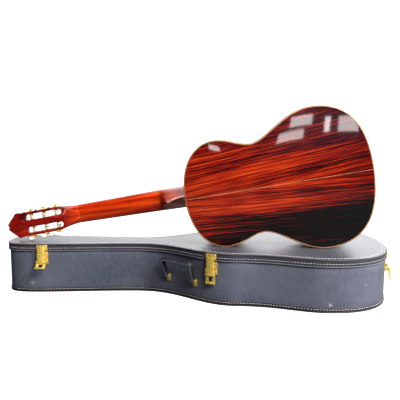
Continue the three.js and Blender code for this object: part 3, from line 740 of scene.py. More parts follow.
def stitches(name, loop, distance, height, normal, radius=0.85):
    """One row of thread stitches along a loop, sunk half way into the surface."""
    line = grown(loop, distance)
    lengths = [0.0]
    for a, b in zip(line, line[1:] + line[:1]):
        lengths.append(lengths[-1] + (b - a).length)
    total = lengths[-1]
    count = int(total / STITCH_PITCH)
    verts, faces = [], []
    spot = 0

    def at(s):
        nonlocal spot
        s %= total
        if s < lengths[spot]:
            spot = 0
        while lengths[spot + 1] < s:
            spot += 1
        a, b = line[spot], line[(spot + 1) % len(line)]
        share = (s - lengths[spot]) / max(lengths[spot + 1] - lengths[spot], 1e-9)
        return a.lerp(b, share)

    for n in range(count):
        s = n * total / count
        start, end = at(s), at(s + STITCH_LENGTH)
        along = Vector((*(end - start).normalized(), 0))
        out = Vector((-along.y, along.x, 0)) if normal == "side" else Vector((0, 0, 1))
        side = along.cross(out)
        centre = Vector((*((start + end) / 2), height))
        first = len(verts)
        for share, swell in STITCH_SHAPE:
            middle = centre + along * (share * STITCH_LENGTH)
            for k in range(STITCH_SIDES):
                turn = 2 * math.pi * k / STITCH_SIDES
                verts.append(middle + (side * math.cos(turn) + out * math.sin(turn) * 0.8) * (radius * swell))
        faces += ring_faces(len(STITCH_SHAPE), STITCH_SIDES, first=first)
        faces += end_caps(len(STITCH_SHAPE), STITCH_SIDES, first)
    return mesh_object(name, verts, faces, THREAD, WORLD, 60)


def rivet(name, matrix, place, radius, body, tall=0.9):
    """A domed rivet head standing on a frame's XZ plane, proud along Y."""
    dome = [(0, tall), (radius * 0.45, tall * 0.92), (radius * 0.8, tall * 0.6)]
    profile = dome + [(radius, 0.12), (radius, -0.3), (0, -0.3)]
    settle(lathe(name, profile, BRASS, matrix @ at_point(*place), 16), body, "brass")


# ---------------------------------------------------------------- materials
THREAD = tinted("thread", (0.62, 0.48, 0.44), (0.80, 0.68, 0.64), 300, 0.75, 0.4)
SCUFFS = [  # place and radius in metres, strength
    ((0.42, -0.194, 0.065), 0.005, 1.0),
    ((0.332, -0.214, 0.020), 0.014, 0.6),
    ((-0.434, -0.062, 0.026), 0.014, 0.35),
]
WALL_VINYL = scuffed_vinyl("wall_vinyl", SCUFFS)
LID_VINYL = vinyl("lid_vinyl", 1.3, 0.27)
EDGE_VINYL = vinyl("edge_vinyl", 0.30, 0.38)
RIM_VINYL = vinyl("rim_vinyl", 0.62, 0.40)
# Lip piping vinyl in a pale tone: a painted highlight along the lid's lower edge, not the piping's own
# colour.
LIP_VINYL_PAINTED_HIGHLIGHT = vinyl("lip_vinyl_painted_highlight", 2.6, 0.3)
# Grip vinyl in a far paler tone than the case's: painted light on the handle's front face.
GRIP_VINYL_PAINTED_LIGHT = vinyl("grip_vinyl_painted_light", 4.6, 0.34)
BRASS = brass("brass")
OLD_BRASS = brass("dull_brass", (0.72, 0.50, 0.17), 0.34)
PLUSH = plush("plush")
BACK = rosewood_back("rosewood_back")
RIB_STOPS = [(0.3, (0.012, 0.004, 0.004)), (0.48, (0.12, 0.018, 0.008)), (0.66, (0.32, 0.055, 0.014))]
RIB = wood("rosewood_rib", (3, 160, 3), RIB_STOPS, 0.35, 0.42, 0.05, 0.2, haze=0.32)
MAHOGANY = neck_wood("neck_wood")
DARK_STOPS = [(0.35, (0.008, 0.004, 0.004)), (0.55, (0.045, 0.010, 0.007)), (0.75, (0.11, 0.022, 0.012))]
DARK_WOOD = wood("dark_wood", (8, 200, 200), DARK_STOPS, 0.6, 0.28, 0.08)
EBONY_STOPS = [(0.35, (0.010, 0.007, 0.006)), (0.55, (0.022, 0.014, 0.012)), (0.75, (0.045, 0.028, 0.02))]
EBONY = wood("ebony", (10, 300, 300), EBONY_STOPS, 0.1, 0.38, 0.12)
SPRUCE_STOPS = [(0.35, (0.50, 0.30, 0.13)), (0.55, (0.66, 0.44, 0.22)), (0.75, (0.76, 0.56, 0.32))]
SPRUCE = wood("bare_spruce", (6, 220, 220), SPRUCE_STOPS, 0.0, 0.6, 0.2)
TAN_STOPS = [(0.3, (0.22, 0.085, 0.025)), (0.55, (0.36, 0.16, 0.05)), (0.75, (0.50, 0.26, 0.10))]
TAN_WOOD = wood("binding_wood", (30, 60, 30), TAN_STOPS, 0.6, 0.25, 0.05)
PALE_WOOD = tinted("purfling_wood", (0.42, 0.24, 0.12), (0.60, 0.40, 0.22), 120, 0.3, 0.05, Coat_Weight=0.6)
CEDAR = soundboard_wood("soundboard_wood")
BONE = tinted("bone", (0.74, 0.62, 0.44), (0.86, 0.76, 0.58), 160, 0.35, 0.08)
ROLLER = tinted("roller_cream", (0.72, 0.50, 0.30), (0.86, 0.68, 0.48), 140, 0.32, 0.06)
PEARL = pearl("pearl")
NYLON = tinted("nylon", (0.74, 0.72, 0.66), (0.86, 0.85, 0.80), 200, 0.2, 0.02, Transmission_Weight=0.3)
WOUND = wound_string("wound_wire")
STEEL = tinted("fret_wire", (0.62, 0.61, 0.57), (0.76, 0.75, 0.70), 300, 0.25, 0.05, Metallic=1.0)

make_camera()
make_studio()


# ---------------------------------------------------------------- floor
FLOOR_HALF = 9.0  # metres
FLOOR_DROP = 0.0006


def make_floor():
    bm = bmesh.new()
    bmesh.ops.create_grid(bm, x_segments=40, y_segments=40, size=FLOOR_HALF)
    for v in bm.verts:
        v.co.z = -FLOOR_DROP
    mesh = bpy.data.meshes.new("floor")
    bm.to_mesh(mesh)
    bm.free()
    floor = bpy.data.objects.new("floor", mesh)
    bpy.context.scene.collection.objects.link(floor)
    mesh.materials.append(floor_white("floor_white"))


# ---------------------------------------------------------------- case
LID_CROWN = 0.55
RIM_TOP = 131.6  # the rim's darker vinyl ends here


def lid_height(x, y, share):
    along = max(0.0, 1 - ((x / 508) ** 2) ** 3)
    return CASE_HEIGHT + LID_CROWN * (1 - share**2) * along


def case_trim(name, profile, material, body, *nodes):
    settle(sweep(name, CASE_LOOP, profile, material), body, "vinyl", *nodes)


def make_case():
    wall = [(-5.8, 0.4), (-3.4, 0.0), (-1.6, 0.5), (-0.4, 1.8), (0.0, 3.8), (0.0, 30), (0.0, 60), (0.0, 90)]
    wall += [(0.0, PARTING - 1.4), (-0.4, PARTING - 0.4), (-1.2, PARTING), (-5.2, PARTING)]
    wall += [(-5.9, PARTING - 0.6), (-6.0, 100), (-6.0, 50), (-6.0, 2)]
    case_trim("case_wall", wall, WALL_VINYL, "case_base", "case_side_wall")
    case_trim("base_piping", arc(0.6, 2.6, 1.9, 10), EDGE_VINYL, "case_base")
    strip = [(-0.4, 0.9), (0.7, 0.9), (0.95, 1.6), (0.95, 10.6), (0.5, 11.4), (-0.4, 11.4)]
    case_trim("base_edge_strip", strip, EDGE_VINYL, "case_base")
    settle(stitches("base_stitching", CASE_LOOP, 0.95, 8.4, "side", 0.7), "case_base", None)

    edge = [(-2.0, 127.0), (-2.0, 120), (-2.0, 114.3), (-1.6, 113.8), (-1.0, 113.6), (2.8, 113.6)]
    edge += [(3.5, 113.8), (4.0, 114.4), (4.0, 118), (4.0, 124), (4.0, 127.6), (3.6, 129.4)]
    edge += [(2.6, 130.9), (1.2, 131.8), (-0.4, CASE_HEIGHT), (-3.0, CASE_HEIGHT)]
    shell = capped("lid_shell", CASE_LOOP, edge, LID_VINYL, lid_height, level(127.0), across=30)
    shell.data.materials.append(RIM_VINYL)
    for face in shell.data.polygons:
        if face.center.z < RIM_TOP * MM and abs(face.normal.z) < 0.985:
            face.material_index = 1
    settle(shell, "lid", "vinyl", "case_lid_rim", "case_lid_panel")
    case_trim("lid_top_piping", arc(2.7, 129.9, 1.7, 10), EDGE_VINYL, "lid")
    # The pale lip piping paints a highlight along the rim's lower edge.
    case_trim("lid_lip_piping", arc(3.5, 114.6, 1.3, 10), LIP_VINYL_PAINTED_HIGHLIGHT, "lid")
    settle(stitches("lid_rim_stitching", CASE_LOOP, 4.1, 121.5, "side", 0.65), "lid", None)
    settle(stitches("lid_top_stitching", CASE_LOOP, -9.0, 132.35, "up"), "lid", None)


def metal(node, material, body, bevel):
    """A CAD solid of the hardware with its edges rounded."""
    settle(refined(node, node + "_brass", material, bevel), body, "brass", node)


def make_hardware():
    for n, matrix in LATCHES.items():
        metal(f"latch_{n}_base_plate", BRASS, "case_base", 0.4)
        metal(f"latch_{n}_catch", BRASS, "lid", 0.4)
        metal(f"latch_{n}_lever", BRASS, f"latch_{n}_lever", 0.4)
        metal(f"latch_{n}_link", BRASS, f"latch_{n}_link", 0.4)
        for side in (-1, 1):
            catch_spot, base_spot = (side * 11.6, 5.5, 126.5), (side * 12.8, 1.6, 105.0)
            rivet(f"latch_{n}_catch_rivet_{side + 2}", matrix, catch_spot, 1.9, "lid")
            rivet(f"latch_{n}_base_rivet_{side + 2}", matrix, base_spot, 1.6, "case_base", 0.7)
    for n in (1, 2):
        metal(f"hinge_{n}_base_leaf", OLD_BRASS, "case_base", 0.3)
        metal(f"hinge_{n}_lid_leaf", OLD_BRASS, "lid", 0.3)
    for side in ("left", "right"):
        metal(f"handle_post_{side}", BRASS, "case_base", 0.5)


def rounded_section(wide, thick, corner):
    points = []
    x, y = wide / 2 - corner, thick / 2 - corner
    for cx, cy, start in ((x, y, 0), (-x, y, 90), (-x, -y, 180), (x, -y, 270)):
        points += arc(cx, cy, corner, 4, start, 90)
    return points


def handle_path():
    """The middle of the loop, with rounded corners, in the handle's X and Z."""
    left = [Vector((-44.5, -4.6)), Vector((-44.5, 4)), Vector((-44.6, 12)), Vector((-45.9, 30))]
    right = [Vector((-p.x, p.y)) for p in reversed(left)]
    path = list(left)
    for before, at, after in (
        (left[-1], Vector((-47.2, 49.7)), Vector((0, 49.7))),
        (Vector((0, 49.7)), Vector((47.2, 49.7)), right[0]),
    ):
        a = at + (before - at).normalized() * 7
        b = at + (after - at).normalized() * 7
        for k in range(9):
            t = k / 8
            path.append(a * (1 - t) ** 2 + at * 2 * t * (1 - t) + b * t * t)
        if at.x < 0:
            path += [Vector((x, 49.7 + 0.3 * (1 - (x / 40) ** 2))) for x in (-28, -14, 0, 14, 28)]
    return path + right


# Rolls along the grip: place across it, share of its thickness, radius.
HANDLE_ROLLS = (
    ("inner_roll", -3.4, 0.0, 1.5),
    ("groove_front", -2.6, 1.0, 0.7),
    ("outer_welt", 4.3, 0.95, 0.6),
)


def make_handle():
    path = handle_path()

    def beside(i, off):
        along = (path[min(i + 1, len(path) - 1)] - path[max(i - 1, 0)]).normalized()
        return path[i] + Vector((-along.y, along.x)) * off

    depth = [1 + 0.5 * smoothstep(p.y, 6, 24) for p in path]  # the loop is thicker than its ends
    body = rounded_section(8.6, 8.0, 1.6)
    verts = []
    for i, deep in enumerate(depth):
        for w, t in body:
            q = beside(i, w + 0.5)
            verts.append((q.x, t * deep, q.y))
    faces = ring_faces(len(path), len(body)) + end_caps(len(path), len(body))
    grip = mesh_object("grip", verts, faces, GRIP_VINYL_PAINTED_LIGHT, HANDLE, 50)
    # Faces that look out of the wall take the paler grip vinyl, painted light on the handle's front; the
    # others take the dark edge vinyl, painted shade on its sides.
    grip.data.materials.append(EDGE_VINYL)
    out = HANDLE.col[1].to_3d()
    for face in grip.data.polygons:
        if face.normal.dot(out) < 0.5:
            face.material_index = 1
    settle(grip, "handle", "grip", "handle")
    for name, off, face, r in HANDLE_ROLLS:
        line = [(beside(i, off).x, 4.0 * face * deep, beside(i, off).y) for i, deep in enumerate(depth)]
        settle(rod("handle_" + name, line, r, EDGE_VINYL, HANDLE, 12), "handle", "grip")


# ---------------------------------------------------------------- padding of the case
CLOTH_PRESSURE, CLOTH_FRAMES = 4.0, 20


def swollen(obj, cap):
    """The mesh after the cloth solver has blown it up, with each point within cap of its start."""
    start = [v.co.copy() for v in obj.data.vertices]
    cloth = obj.modifiers.new("cloth", "CLOTH")
    cloth.settings.use_pressure = True
    cloth.settings.uniform_pressure_force = CLOTH_PRESSURE
    cloth.settings.effector_weights.gravity = 0.0
    for frame_number in range(1, CLOTH_FRAMES + 1):
        bpy.context.scene.frame_set(frame_number)
    mesh = baked(obj)
    obj.modifiers.clear()
    for vertex, at in zip(mesh.vertices, start):
        moved = vertex.co - at
        if moved.length > cap * MM:
            vertex.co = at + moved.normalized() * (cap * MM)
    bpy.context.scene.frame_set(1)
    return mesh


def puffed(obj, voxel, cap):
    """Turns a closed form into an even mesh and swells it, as stuffing does."""
    material = obj.data.materials[0]
    remesh = obj.modifiers.new("remesh", "REMESH")
    remesh.mode = "VOXEL"
    remesh.voxel_size = voxel * MM
    mesh = baked(obj)
    obj.modifiers.clear()
    obj.data = mesh
    obj.data = swollen(obj, cap)
    obj.modifiers.new("smooth", "SUBSURF").levels = 1
    done = baked(obj)
    obj.modifiers.clear()
    obj.data = done
    done.materials.clear()
    done.materials.append(material)
    shade(obj, 60)
    return obj


QUILT_PITCH = 90.0
WALL_PANELS = 16


def quilt(x, y):
    """0 on the sewn channels of a diamond pattern and 1 in the middle of each diamond."""
    a = abs(math.sin(math.pi * (x + y) / QUILT_PITCH))
    b = abs(math.sin(math.pi * (x - y) / QUILT_PITCH))
    return (a * b) ** 0.5


def padded(obj, body, fill, *nodes):
    settle(obj, body, "plush", *nodes)
    return obj


def make_wall_pad():
    """The plush on the base's wall, with upright seams between its panels."""
    normals = outward(CASE_LOOP)
    run = [0.0]
    for a, b in zip(CASE_LOOP, CASE_LOOP[1:] + CASE_LOOP[:1]):
        run.append(run[-1] + (b - a).length)
    low, high = 6.2, 110.2
    back = [(-6.5, low), (-6.5, 40), (-6.5, 80), (-6.5, 109.6), (-7.2, 110.8), (-8.6, 111.0)]
    heights = [high, 108, 104, 94, 78, 60, 42, 26, 14, 8, low]
    verts = []
    for p, n, s in zip(CASE_LOOP, normals, run):
        part = (s / run[-1] * WALL_PANELS) % 1
        swell = 1.5 * (1 - (2 * part - 1) ** 8)
        bulge = [math.sin(math.pi * (h - low) / (high - low)) ** 0.5 if h < high else 0.0 for h in heights]
        section = back + [(-9.6 - swell * full, h) for h, full in zip(heights, bulge)]
        verts += [(p.x + n.x * d, p.y + n.y * d, h) for d, h in section]
    faces = ring_faces(len(CASE_LOOP), len(back) + len(heights), looped=True)
    return mesh_object("base_wall_pad", verts, faces, PLUSH, WORLD, 60)


def make_sheets():
    """The plush on the case's floor and under its lid, sewn in a diamond pattern."""

    def floor_top(x, y, share):
        return 8.4 + 1.2 * quilt(x, y) * (1 - share**6)

    def ceiling(x, y, share):
        return 123.9 - 1.3 * quilt(x, y) * (1 - share**6)

    edge = [(-13.4, 5.5), (-12.4, 5.7), (-12.0, 6.6), (-12.2, 7.6), (-13.0, 8.3)]
    low = capped("base_floor_pad", CASE_LOOP, edge, PLUSH, floor_top, level(5.5), across=48, smooth=60)
    padded(low, "case_base", 0.4, "base_lining")
    edge = [(-8.0, 123.9), (-6.9, 124.2), (-6.5, 125.0), (-6.6, 126.0), (-7.4, 126.6)]
    high = capped("lid_pad", CASE_LOOP, edge, PLUSH, level(126.6), ceiling, across=48, smooth=60)
    padded(high, "lid", 0.4, "lid_lining")


PIPING_Z, PIPING_R = 48.0, 0.9
BIN = (-245.0, -105.0, 31.0)  # the compartment's ends along X and half its width
BIN_CORNER = 4.0
BIN_FLOOR = 9.8


def make_compartment():
    x0, x1, half = BIN
    in_x0, in_x1, in_y = x0 + BIN_CORNER, x1 - BIN_CORNER, half - BIN_CORNER
    corners = []
    for cx, cy, start in ((in_x1, in_y, 0), (in_x0, in_y, 90), (in_x0, -in_y, 180), (in_x1, -in_y, 270)):
        corners += [Vector(p) for p in arc(cx, cy, BIN_CORNER, 6, start, 90)]
    corners.reverse()
    lip = [(-0.1, 44.4), (-0.7, 45.6), (-2.0, 46.0), (-3.3, 45.6), (-3.9, 44.4)]
    rim = [(-0.1, BIN_FLOOR), *lip, (-3.9, BIN_FLOOR)]
    padded(sweep("compartment_walls", corners, rim, PLUSH, smooth=60), "case_base", 0.3, "neck_cradle")
    floor_loop = [tuple(p) for p in grown(corners, -3.95)]
    flat = plate("compartment_floor", [floor_loop], BIN_FLOOR, BIN_FLOOR + 3.8, PLUSH, 0.9, upright, WORLD)
    padded(flat, "case_base", 0.3, "neck_cradle")


def make_neck_rest():
    """A block with a round seat for the neck."""
    ends, half, foot, shoulder = (-102.5, -82.5), 28.5, 12.0, 89.5
    seat_r, seat_up = 29.6, 103
    seat = [(half, foot), (half, shoulder)]
    for a in range(60, -61, -6):
        seat.append((seat_r * math.sin(math.radians(a)), seat_up - seat_r * math.cos(math.radians(a))))
    seat += [(-half, shoulder), (-half, foot)]
    verts = [(x, y, z) for x in ends for y, z in seat]
    faces = end_caps(2, len(seat)) + ring_faces(2, len(seat))
    block = puffed(mesh_object("neck_rest_pad", verts, faces, PLUSH, WORLD, 60), 4.5, 5.0)
    padded(block, "case_base", 0.7, "neck_cradle")


def make_compartment_lid():
    """A crowned cushion with piping round it and a pull."""
    across, along = 24, 48
    verts, faces = [], []
    for height in (2.4, -1.35):
        first = len(verts)
        for i in range(along + 1):
            for j in range(across + 1):
                u, v = 2 * i / along - 1, 2 * j / across - 1
                crown = ((1 - u**8) * (1 - v**6)) ** 0.6
                pull = 1 - 0.012 * (1 - abs(u)) * abs(v) ** 8
                verts.append((-175 + 68.4 * u, -1 + 28.6 * v * pull, PIPING_Z + height * crown))
        for i in range(along):
            for j in range(across):
                a = first + i * (across + 1) + j
                faces.append((a, a + 1, a + across + 2, a + across + 1))
    cushion = mesh_object("compartment_cushion", verts, faces, PLUSH, WORLD, 60)
    padded(cushion, "compartment_lid", 0.6, "compartment_lid")
    x0, x1, y0, y1 = -243.4, -106.6, -29.6, 26.7
    edge = [(x0, y0), (x1, y0), (x1, y1), (x0, y1), (x0, y0)]
    loop = []
    for (ax, ay), (bx, by) in zip(edge, edge[1:]):
        loop += [(ax + (bx - ax) * k / 12, ay + (by - ay) * k / 12, PIPING_Z) for k in range(12)]
    loop.append(loop[0])
    settle(rod("compartment_piping", loop, PIPING_R, EDGE_VINYL, WORLD, 8), "compartment_lid", "vinyl")
    pull_loop = [(-6, y0, 0.0), (-6, -33, 0.6), (-4, -36, 0.8), (0, -37, 0.9)]
    pull_loop += [(-x, y, z) for x, y, z in reversed(pull_loop[:-1])]
    tab = [(-175 + x, y, PIPING_Z + z) for x, y, z in pull_loop]
    settle(rod("compartment_pull", tab, PIPING_R, EDGE_VINYL, WORLD, 8), "compartment_lid", "vinyl")


def make_padding():
    padded(make_wall_pad(), "case_base", 0.4, "base_lining")
    make_sheets()
    make_compartment()
    make_neck_rest()
    make_compartment_lid()


# ---------------------------------------------------------------- guitar body
DOME = 2.6
BACK_BRACES = (110, 235, 365)  # along the body, the usual three bars of a classical back


def back_height(x, y, share):
    along = math.sin(math.pi * min(max(x / BODY_LENGTH, 0), 1)) ** 0.7
    return -DOME * (1 - share**2) * along


def body_trim(name, profile, material, slot, *nodes, smooth=40):
    """Sweeps a profile round the body's outline."""
    settle(sweep(name, BODY_LOOP, profile, material, edgewise, GUITAR, smooth), "guitar", slot, *nodes)


def make_ribs_and_edges():
    low, high = 3.2, BODY_DEPTH - 3.2
    rib = [(0, low), (0, 20), (0, 47), (0, 75), (0, high), (-2.2, high), (-2.2, 47), (-2.2, low)]
    body_trim("ribs", rib, RIB, "rosewood", "rib_bass", "rib_treble")
    for name, outer, inner, way in (("back_binding", -0.1, 3.4, 1), ("top_binding", 95.1, 91.6, -1)):
        edge = [(-2.3, outer), (-0.55, outer), (0.0, outer + 0.5 * way), (0.12, outer + 1.2 * way)]
        body_trim(name, edge + [(0.12, inner), (-2.3, inner)], TAN_WOOD, "rosewood", smooth=60)
    for name, low, high in (("back_purfling", 3.4, 4.3), ("top_purfling", 90.7, 91.6)):
        body_trim(name, [(0.1, low), (0.1, high), (-0.8, high), (-0.8, low)], PALE_WOOD, "spruce")
    line = [(-2.35, -0.06), (-2.8, -0.06), (-2.8, 0.5), (-2.35, 0.5)]
    body_trim("back_edge_line", line, PALE_WOOD, "spruce")


def make_centre_strip():
    steps = 60
    seam = [(x, back_height(x, 0, 0) - 0.05) for x in (2 + 483 * k / steps for k in range(steps + 1))]
    verts = [(x, h + d, z) for x, h in seam for d, z in ((0, -0.4), (0, 0.4), (0.5, 0.4), (0.5, -0.4))]
    faces = ring_faces(steps + 1, 4) + end_caps(steps + 1, 4)
    settle(mesh_object("back_centre_strip", verts, faces, PALE_WOOD, GUITAR), "guitar", "spruce")


def make_soundboard():
    x, r = SOUNDHOLE
    face = BODY_DEPTH
    outline = [tuple(p) for p in grown(BODY_LOOP, -2.3)]
    top = plate("top", [outline, arc(x, 0, r, 96)], face - PLATE, face, CEDAR, 0.4)
    settle(top, "guitar", "cedar", "soundboard")
    rings = [arc(x, 0, r + 17, 96), arc(x, 0, r + 3, 96)]
    rosette = plate("rosette", rings, face - 0.4, face + 0.06, rosette_wood("rosette", x), 0.02)
    settle(rosette, "guitar", "rosewood")
    line = [(-2.35, 94.2), (-3.15, 94.2), (-3.15, 95.05), (-2.35, 95.05)]
    body_trim("top_edge_line", line, DARK_WOOD, "rosewood")


def make_inside():
    body_trim("top_lining", [(-2.25, 91.7), (-8.4, 91.7), (-2.25, 78)], SPRUCE, "spruce")
    body_trim("back_lining", [(-2.25, 3.4), (-8.4, 3.4), (-2.25, 17)], SPRUCE, "spruce")
    for i, x in enumerate(BACK_BRACES):
        reach = min(abs(p.y) for p in BODY_LOOP if abs(p.x - x) < 8) - 9.5
        bar = [(x - 3.5, -reach), (x + 3.5, -reach), (x + 3.5, reach), (x - 3.5, reach)]
        settle(plate(f"back_brace_{i + 1}", [bar], 3.1, 15.5, SPRUCE, 0.8), "guitar", "spruce")


def make_body():
    skin = [(-2.4, 2.9), (-2.4, 1.5), (-2.4, 0.0)]
    back = capped("back", BODY_LOOP, skin, BACK, back_height, level(2.9), edgewise, GUITAR, 40, 60)
    settle(back, "guitar", "rosewood", "back_plate")
    make_ribs_and_edges()
    make_centre_strip()
    make_soundboard()
    make_inside()


# ---------------------------------------------------------------- neck and head
def neck_half(x):
    return JOINT_HALF + (NUT_HALF - JOINT_HALF) * (-x / NECK_LENGTH)


def head_half(x):
    """Half the head's width at a distance along it."""
    places = [(0, NUT_HALF), (-9, 26.3), (-22, 28.1), (-34, 30.5), (-46, 32.2), (-54, 32.6)]
    places += [(-146, 32.6), (-163, 34.5)]
    for (x0, z0), (x1, z1) in zip(places, places[1:]):
        if x >= x1:
            return z0 + (z1 - z0) * (x0 - x) / (x0 - x1)
    return places[-1][1]


def smoothstep(x, a, b):
    t = min(max((x - a) / (b - a), 0), 1)
    return t * t * (3 - 2 * t)


NECK_THICK = 21.0
HEEL = (-80.0, -40.0)  # the neck's depth grows over this stretch


def make_neck_shaft():
    """One loft from the head's first slots to the foot of the heel."""
    bend = Matrix.Translation(Vector((-NECK_LENGTH, HEAD_FACE, 0))) @ turned(HEAD_TILT, "Z")
    share = [math.sin(math.pi / 2 * k / 16) for k in range(17)]
    ring = 2 * len(share)
    verts = []

    def section(half, depth, cap, fullness, top):
        right = [(top - depth * t, cap + (half - cap) * (1 - t * t) ** fullness) for t in share]
        return right + [(y, -z) for y, z in reversed(right)]

    for s in [-40 + 2.0 * i for i in range(31)]:  # along the head and the first of the neck, from the nut
        flat = smoothstep(-s, -6, 38)
        half = head_half(s) if s < 0 else neck_half(-NECK_LENGTH + s)
        cap = 0.4 + (half - 1.6 - 0.4) * flat
        depth = NECK_THICK + (HEAD_THICK - NECK_THICK) * smoothstep(-s, -16, 30)
        turn = smoothstep(-s, -16, -1)
        for y, z in section(half, depth, cap, 0.5, 0.0):
            straight = Vector((-NECK_LENGTH + s, BODY_DEPTH + y, z))
            verts.append(straight.lerp(bend @ Vector((s, y, z)), turn))
    stations = [-299 + 4.0 * i for i in range(49)] + [-105 + 2.4 * i for i in range(28)]
    stations += [-39 + 2.0 * i for i in range(20)] + [-0.3]
    for x in stations:
        heel = smoothstep(x, *HEEL)
        cap = 9 * math.sqrt(max(x + 40, 0) / 40) + 0.4
        depth = NECK_THICK + (91.7 - NECK_THICK) * heel
        outline = section(neck_half(x), depth, cap, 0.5 + 1.3 * heel, BODY_DEPTH)
        verts += [Vector((x, y, z)) for y, z in outline]
    rings = len(verts) // ring
    faces = ring_faces(rings, ring) + end_caps(rings, ring)
    settle(mesh_object("neck_shaft", verts, faces, MAHOGANY, GUITAR, 50), "guitar", "mahogany", "neck")


def mirrored(half):
    return half + [(x, -z) for x, z in reversed(half[:-1])]


def slot(side, start):
    """One of the head's two slots, with round ends."""
    end, z, r = -137.5, side * 17.6, 8.0
    return arc(start - r, z, r, 12, -90, 180) + arc(end + r, z, r, 12, 90, 180)


def make_head():
    crown = [(x, head_half(x)) for x in (-39.5, -46, -54, -80, -110, -146, -155, -163)]
    crown += [(-176, 20.6), (-188, 7), (-187.3, 5), (-186, 2.4), (-185.6, 0)]
    loops = [mirrored(crown), slot(1, -41), slot(-1, -41)]
    settle(plate("head_core", loops, -HEAD_THICK, 0, MAHOGANY, 1.1, matrix=HEAD), "guitar", "mahogany")
    front = [(-0.8, 25.6)] + [(x, head_half(x)) for x in (-9, -22, -34)] + crown
    loops = [mirrored(front), slot(1, -26), slot(-1, -26)]
    veneer = plate("head_face", loops, 0.3, 2.0, DARK_WOOD, 0.35, matrix=HEAD)
    settle(veneer, "guitar", "rosewood", "head_veneer")


def block(name, x0, x1, half, low, high, material, bevel, slot_name):
    outline = [(x0, -half), (x1, -half), (x1, half), (x0, half)]
    settle(plate(name, [outline], low, high, material, bevel), "guitar", slot_name)


def make_neck():
    make_neck_shaft()
    make_head()
    block("nut_shelf", -321, -314, 24.8, 88, 95.3, MAHOGANY, 0.3, "mahogany")
    settle(refined("tail_block", "tail_block_wood", SPRUCE, 1.0), "guitar", "spruce", "tail_block")
    block("neck_block", 5, 45, 32, 3.6, 91.4, SPRUCE, 1.0, "spruce")
    settle(refined("heel_cap", "heel_cap_wood", DARK_WOOD, 0.8, 3), "guitar", "rosewood", "heel_cap")


BOARD_START, BOARD_END, BOARD_TOP = -314.7, 108.5, 101.3
FRETS = 19
FRET_HALF_SECTION = ((1.0, -0.3), (0.8, 0.55), (0.35, 0.95))  # half width, height over the board


def make_fret(n):
    x = -NECK_LENGTH + SCALE_LENGTH * (1 - 2 ** (-n / 12))
    half = neck_half(x) - 0.8
    crown = [(x - a, BOARD_TOP + h) for a, h in FRET_HALF_SECTION]
    crown += [(x + a, BOARD_TOP + h) for a, h in reversed(FRET_HALF_SECTION)]
    size = len(crown)
    verts = []
    for z, limit in ((-half, 0.2), (-half + 0.8, 1.0), (half - 0.8, 1.0), (half, 0.2)):
        verts += [(a, min(b, BOARD_TOP + limit), z) for a, b in crown]
    faces = ring_faces(4, size) + end_caps(4, size)
    settle(mesh_object(f"fret_{n}", verts, faces, STEEL, GUITAR, 60), "guitar", "wound")


def make_board():
    start, end = neck_half(BOARD_START), neck_half(BOARD_END)
    outline = [(BOARD_START, start), (BOARD_END, end), (BOARD_END, -end), (BOARD_START, -start)]
    settle(plate("board", [outline], 95.3, BOARD_TOP, EBONY, 0.5), "guitar", "ebony", "fingerboard")
    for n in range(1, FRETS + 1):
        make_fret(n)
    settle(refined("nut", "nut_bone", BONE, 0.6, 3), "guitar", "bone", "nut")
    settle(refined("saddle", "saddle_bone", BONE, 0.5, 3), "guitar", "bone", "saddle")
    settle(refined("bridge", "bridge_wood", DARK_WOOD, 0.7, 3), "guitar", "rosewood", "bridge")


# ---------------------------------------------------------------- tuning machines
MACHINE_DEPTH = -HEAD_THICK / 2
WORM_OFFSET, WORM_Z, WORM_R = 9.9, 38.1, 2.15
ROLLER_R = 5.0


def roller_x(k):
    """Place along the head of a side's roller, counted from the nut."""
    return -FIRST_ROLLER - ROLLER_STEP * k


def make_roller(side, x, body):
    barrel = [(0, 4.2), (2.9, 4.2), (2.9, 9.6), (4.6, 10.0), (ROLLER_R, 10.4), (ROLLER_R, 24.6), (4.6, 25.1)]
    barrel += [(2.9, 25.4), (2.9, 29), (0, 29)]
    place = HEAD @ at_point(x, MACHINE_DEPTH, 0) @ turned(90 * side, "X")
    settle(lathe(f"{body}_drum", barrel, ROLLER, place), body, "bone")
    settle(refined(body, body + "_gear", OLD_BRASS, 0.12, 1), body, "brass", body)


def make_button(side, x, body):
    spot = HEAD @ at_point(x - WORM_OFFSET, MACHINE_DEPTH, side * WORM_Z)
    knob = [(0, -37), (2.4, -36.9), (4.6, -36.0), (6.4, -34.2), (7.4, -31.4), (7.7, -28.4), (7.6, -25.2)]
    knob += [(7.0, -22.0), (5.8, -19.0), (4.2, -16.6), (3.0, -14.6), (2.4, -13.5), (0, -13.5)]
    settle(lathe(f"{body}_pearl", knob, PEARL, spot, 36, 0.6), body, "pearl")
    thread = []
    for i in range(61):  # three turns
        y = THREAD_PITCH * (i / 20 - 1.5)
        turn = 2 * math.pi * y / THREAD_PITCH - math.pi
        thread.append((WORM_R * math.cos(turn), y, -WORM_R * math.sin(turn)))
    settle(rod(f"{body}_worm", thread, 0.62, OLD_BRASS, spot, 6), body, "brass")
    stem = [(0, 8), (1.2, 8), (1.6, 7.5), (1.6, -10.5), (2.4, -11), (2.4, -13.0)]
    stem += [(1.8, -13.6), (1.6, -15), (0, -15)]
    settle(lathe(f"{body}_stem", stem, BRASS, spot, 20), body, "brass", body)


def make_machines():
    for side, label in ((1, "treble"), (-1, "bass")):
        node = f"tuner_plate_{label}"
        settle(refined(node, node + "_brass", BRASS, 0.25), "guitar", "brass", node)
        for k in range(3):
            make_roller(side, roller_x(k), f"tuner_roller_{label}_{k + 1}")
            make_button(side, roller_x(k), f"tuner_button_{label}_{k + 1}")


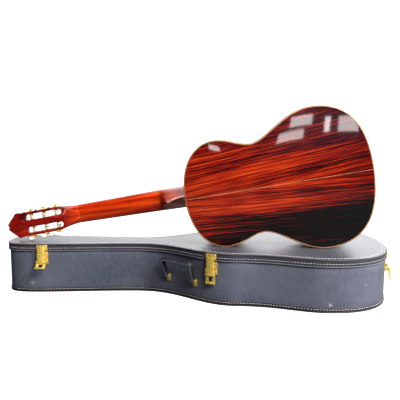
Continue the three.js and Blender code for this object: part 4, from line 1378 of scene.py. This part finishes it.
# ---------------------------------------------------------------- strings
STRINGS = {  # radius
    "string_1_e": 0.36,
    "string_2_b": 0.41,
    "string_3_g": 0.51,
    "string_4_d": 0.37,
    "string_5_a": 0.44,
    "string_6_e": 0.54,
}
NUT_STEP, BRIDGE_STEP = 8.6, 11.6  # between strings
WINDING_Z = (21.5, 18.5, 15.5)
NUT_TOP, SADDLE_TOP = 103.6, 106.8
COIL_TURN = 18  # points to a turn


def make_string(i, name, r):
    """One string from the bridge over saddle and nut to its roller, and its four turns there."""
    place = 2.5 - i
    k = i if i < 3 else 5 - i
    side, material, slot_name = ("treble", NYLON, "nylon") if i < 3 else ("bass", WOUND, "wound")
    z = math.copysign(WINDING_Z[k], place)
    at_nut, at_saddle = NUT_TOP + r, SADDLE_TOP + r
    x = roller_x(k)
    end = GUITAR.inverted() @ HEAD @ (Vector((x + 1.2, MACHINE_DEPTH + ROLLER_R + r, z)) * MM) / MM
    far, near = place * BRIDGE_STEP, place * NUT_STEP
    path = [(327.6, 101.2, far), (325.4, 104.6, far), (323.4, at_saddle, far), (321.2, at_saddle, far)]
    path += [(-316, at_nut, near), (-320.3, at_nut, near), end]
    settle(rod(name + "_line", path, r, material, GUITAR, 8), "guitar", slot_name, name)
    coil = []
    reach = ROLLER_R + r
    for n in range(4 * COIL_TURN + 1):
        turn = 2 * math.pi * n / COIL_TURN
        along = math.copysign(n / COIL_TURN * r * 2.1, -place)
        coil.append((x + reach * math.sin(turn), MACHINE_DEPTH + reach * math.cos(turn), z + along))
    settle(rod(name + "_winding", coil, r, material, HEAD, 6), f"tuner_roller_{side}_{k + 1}", slot_name)


def make_strings():
    for i, (name, r) in enumerate(STRINGS.items()):
        make_string(i, name, r)


make_floor()
make_case()
make_hardware()
make_handle()
make_padding()
make_body()
make_neck()
make_board()
make_machines()
make_strings()

KEPT = {
    "case_bottom_panel": EDGE_VINYL,
    "top_braces": SPRUCE,
}
for node, material in KEPT.items():
    NODES[node].data.materials.clear()
    NODES[node].data.materials.append(material)
